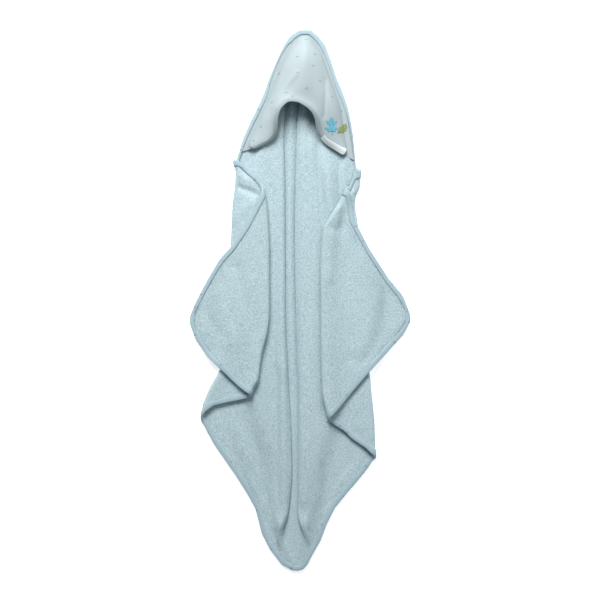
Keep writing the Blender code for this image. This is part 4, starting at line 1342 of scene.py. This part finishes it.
# Its rim
sewn = []
for c in hood_columns(RIM_COLUMNS):
    path = [(hood[-1 - k, c], hood_normals[-1 - k, c]) for k in range(HOOD_DOWN_SPLIT + 1)]
    sewn.append(sewn_over(path, hood[-1, c + 1] - hood[-1, c - 1], JERSEY / 2))
sections, rim_line, _ = zip(*sewn)
rim = tape_piece("hood_edge", sections, False, rim_knit)
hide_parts("hood_rim")
rim_stitches = stitch_piece("rim_stitches", rim_line, thread)

# The label over the rim
label_points, label_normals = [], []
for c in hood_columns(LABEL_COLUMNS):
    inwards = hood[::-1, c][: 2 * HOOD_DOWN_SPLIT + 1]
    turned = hood_normals[::-1, c][: 2 * HOOD_DOWN_SPLIT + 1]
    run = run_along(inwards)
    reach = [LABEL_WIDTH * k / LABEL_STEPS for k in range(LABEL_STEPS, -1, -1)]
    label_points.append([read_at(d, run, inwards) for d in reach])
    label_normals.append([unit(read_at(d, run, turned)) for d in reach])
label_grids = (np.array(grid).swapaxes(0, 1) for grid in (label_points, label_normals))
label = wall_piece("woven_label", *label_grids, LABEL_THICKNESS, woven, woven, lift=LABEL_OVER)
label.data.set_sharp_from_angle(angle=radians(LABEL_SHARP))
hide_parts("label")

# Embroidered leaves and printed marks on the hood front
outer_face = [tuple(p) for p in (hood + hood_normals * JERSEY / 2).reshape(-1, 3)]
outer_quads = [tuple(int(i) for i in f) for f in shell_faces(*hood.shape[:2])[0]]
surface = BVHTree.FromPolygons(outer_face, outer_quads)
for leaf_name, leaflets, stalk in LEAVES:
    points, faces, edges = [], [], []
    for centre_x, centre_y, length, width, turn in leaflets:
        centre = centre_x, centre_y
        leaflet(points, faces, edges, surface, centre, length, width, radians(turn), LEAF_HEIGHT)
    stem(points, faces, edges, surface, stalk[:2], stalk[2:])
    leaf = mesh_object(leaf_name, points, faces, leaf_looks[leaf_name], edges)

points, faces, edges = [], [], []
for mark_x, mark_y, turn in MARKS:
    for offset, length, width, tilt in MARK_OVALS:
        centre = mark_x + offset * cos(radians(turn)), mark_y + offset * sin(radians(turn))
        leaflet(points, faces, edges, surface, centre, length, width, radians(turn + tilt), MARK_HEIGHT)
printed = mesh_object("printed_marks", points, faces, [mark_print])

# Floor, lights and camera
floor_mesh = bpy.data.meshes.new("floor")
floor_mesh.from_pydata([(x, y, 0) for x, y in ((-1, -1), (1, -1), (1, 1), (-1, 1))], [], [(0, 1, 2, 3)])
floor_mesh.transform(Matrix.Scale(FLOOR_HALF, 4))
floor_mesh.materials.append(floor_look())
placed("floor", floor_mesh, (0, 0, FLOOR_HEIGHT))

world = bpy.data.worlds.new("studio")
world.use_nodes = True
set_inputs(world.node_tree.nodes["Background"], {"Color": WORLD_COLOUR, "Strength": WORLD_LIGHT})
bpy.context.scene.world = world
area_light("key", KEY_PLACE, KEY_SIZE, KEY_POWER)
area_light("fill", FILL_PLACE, FILL_SIZE, FILL_POWER)
bpy.context.scene.view_settings.view_transform = "Standard"

camera_data = bpy.data.cameras.new("camera")
camera_data.lens = camera_data.sensor_width * CAMERA_HEIGHT / FRAME_WIDTH
bpy.context.scene.camera = placed("camera", camera_data, (FRAME_X, FRAME_Y, CAMERA_HEIGHT))
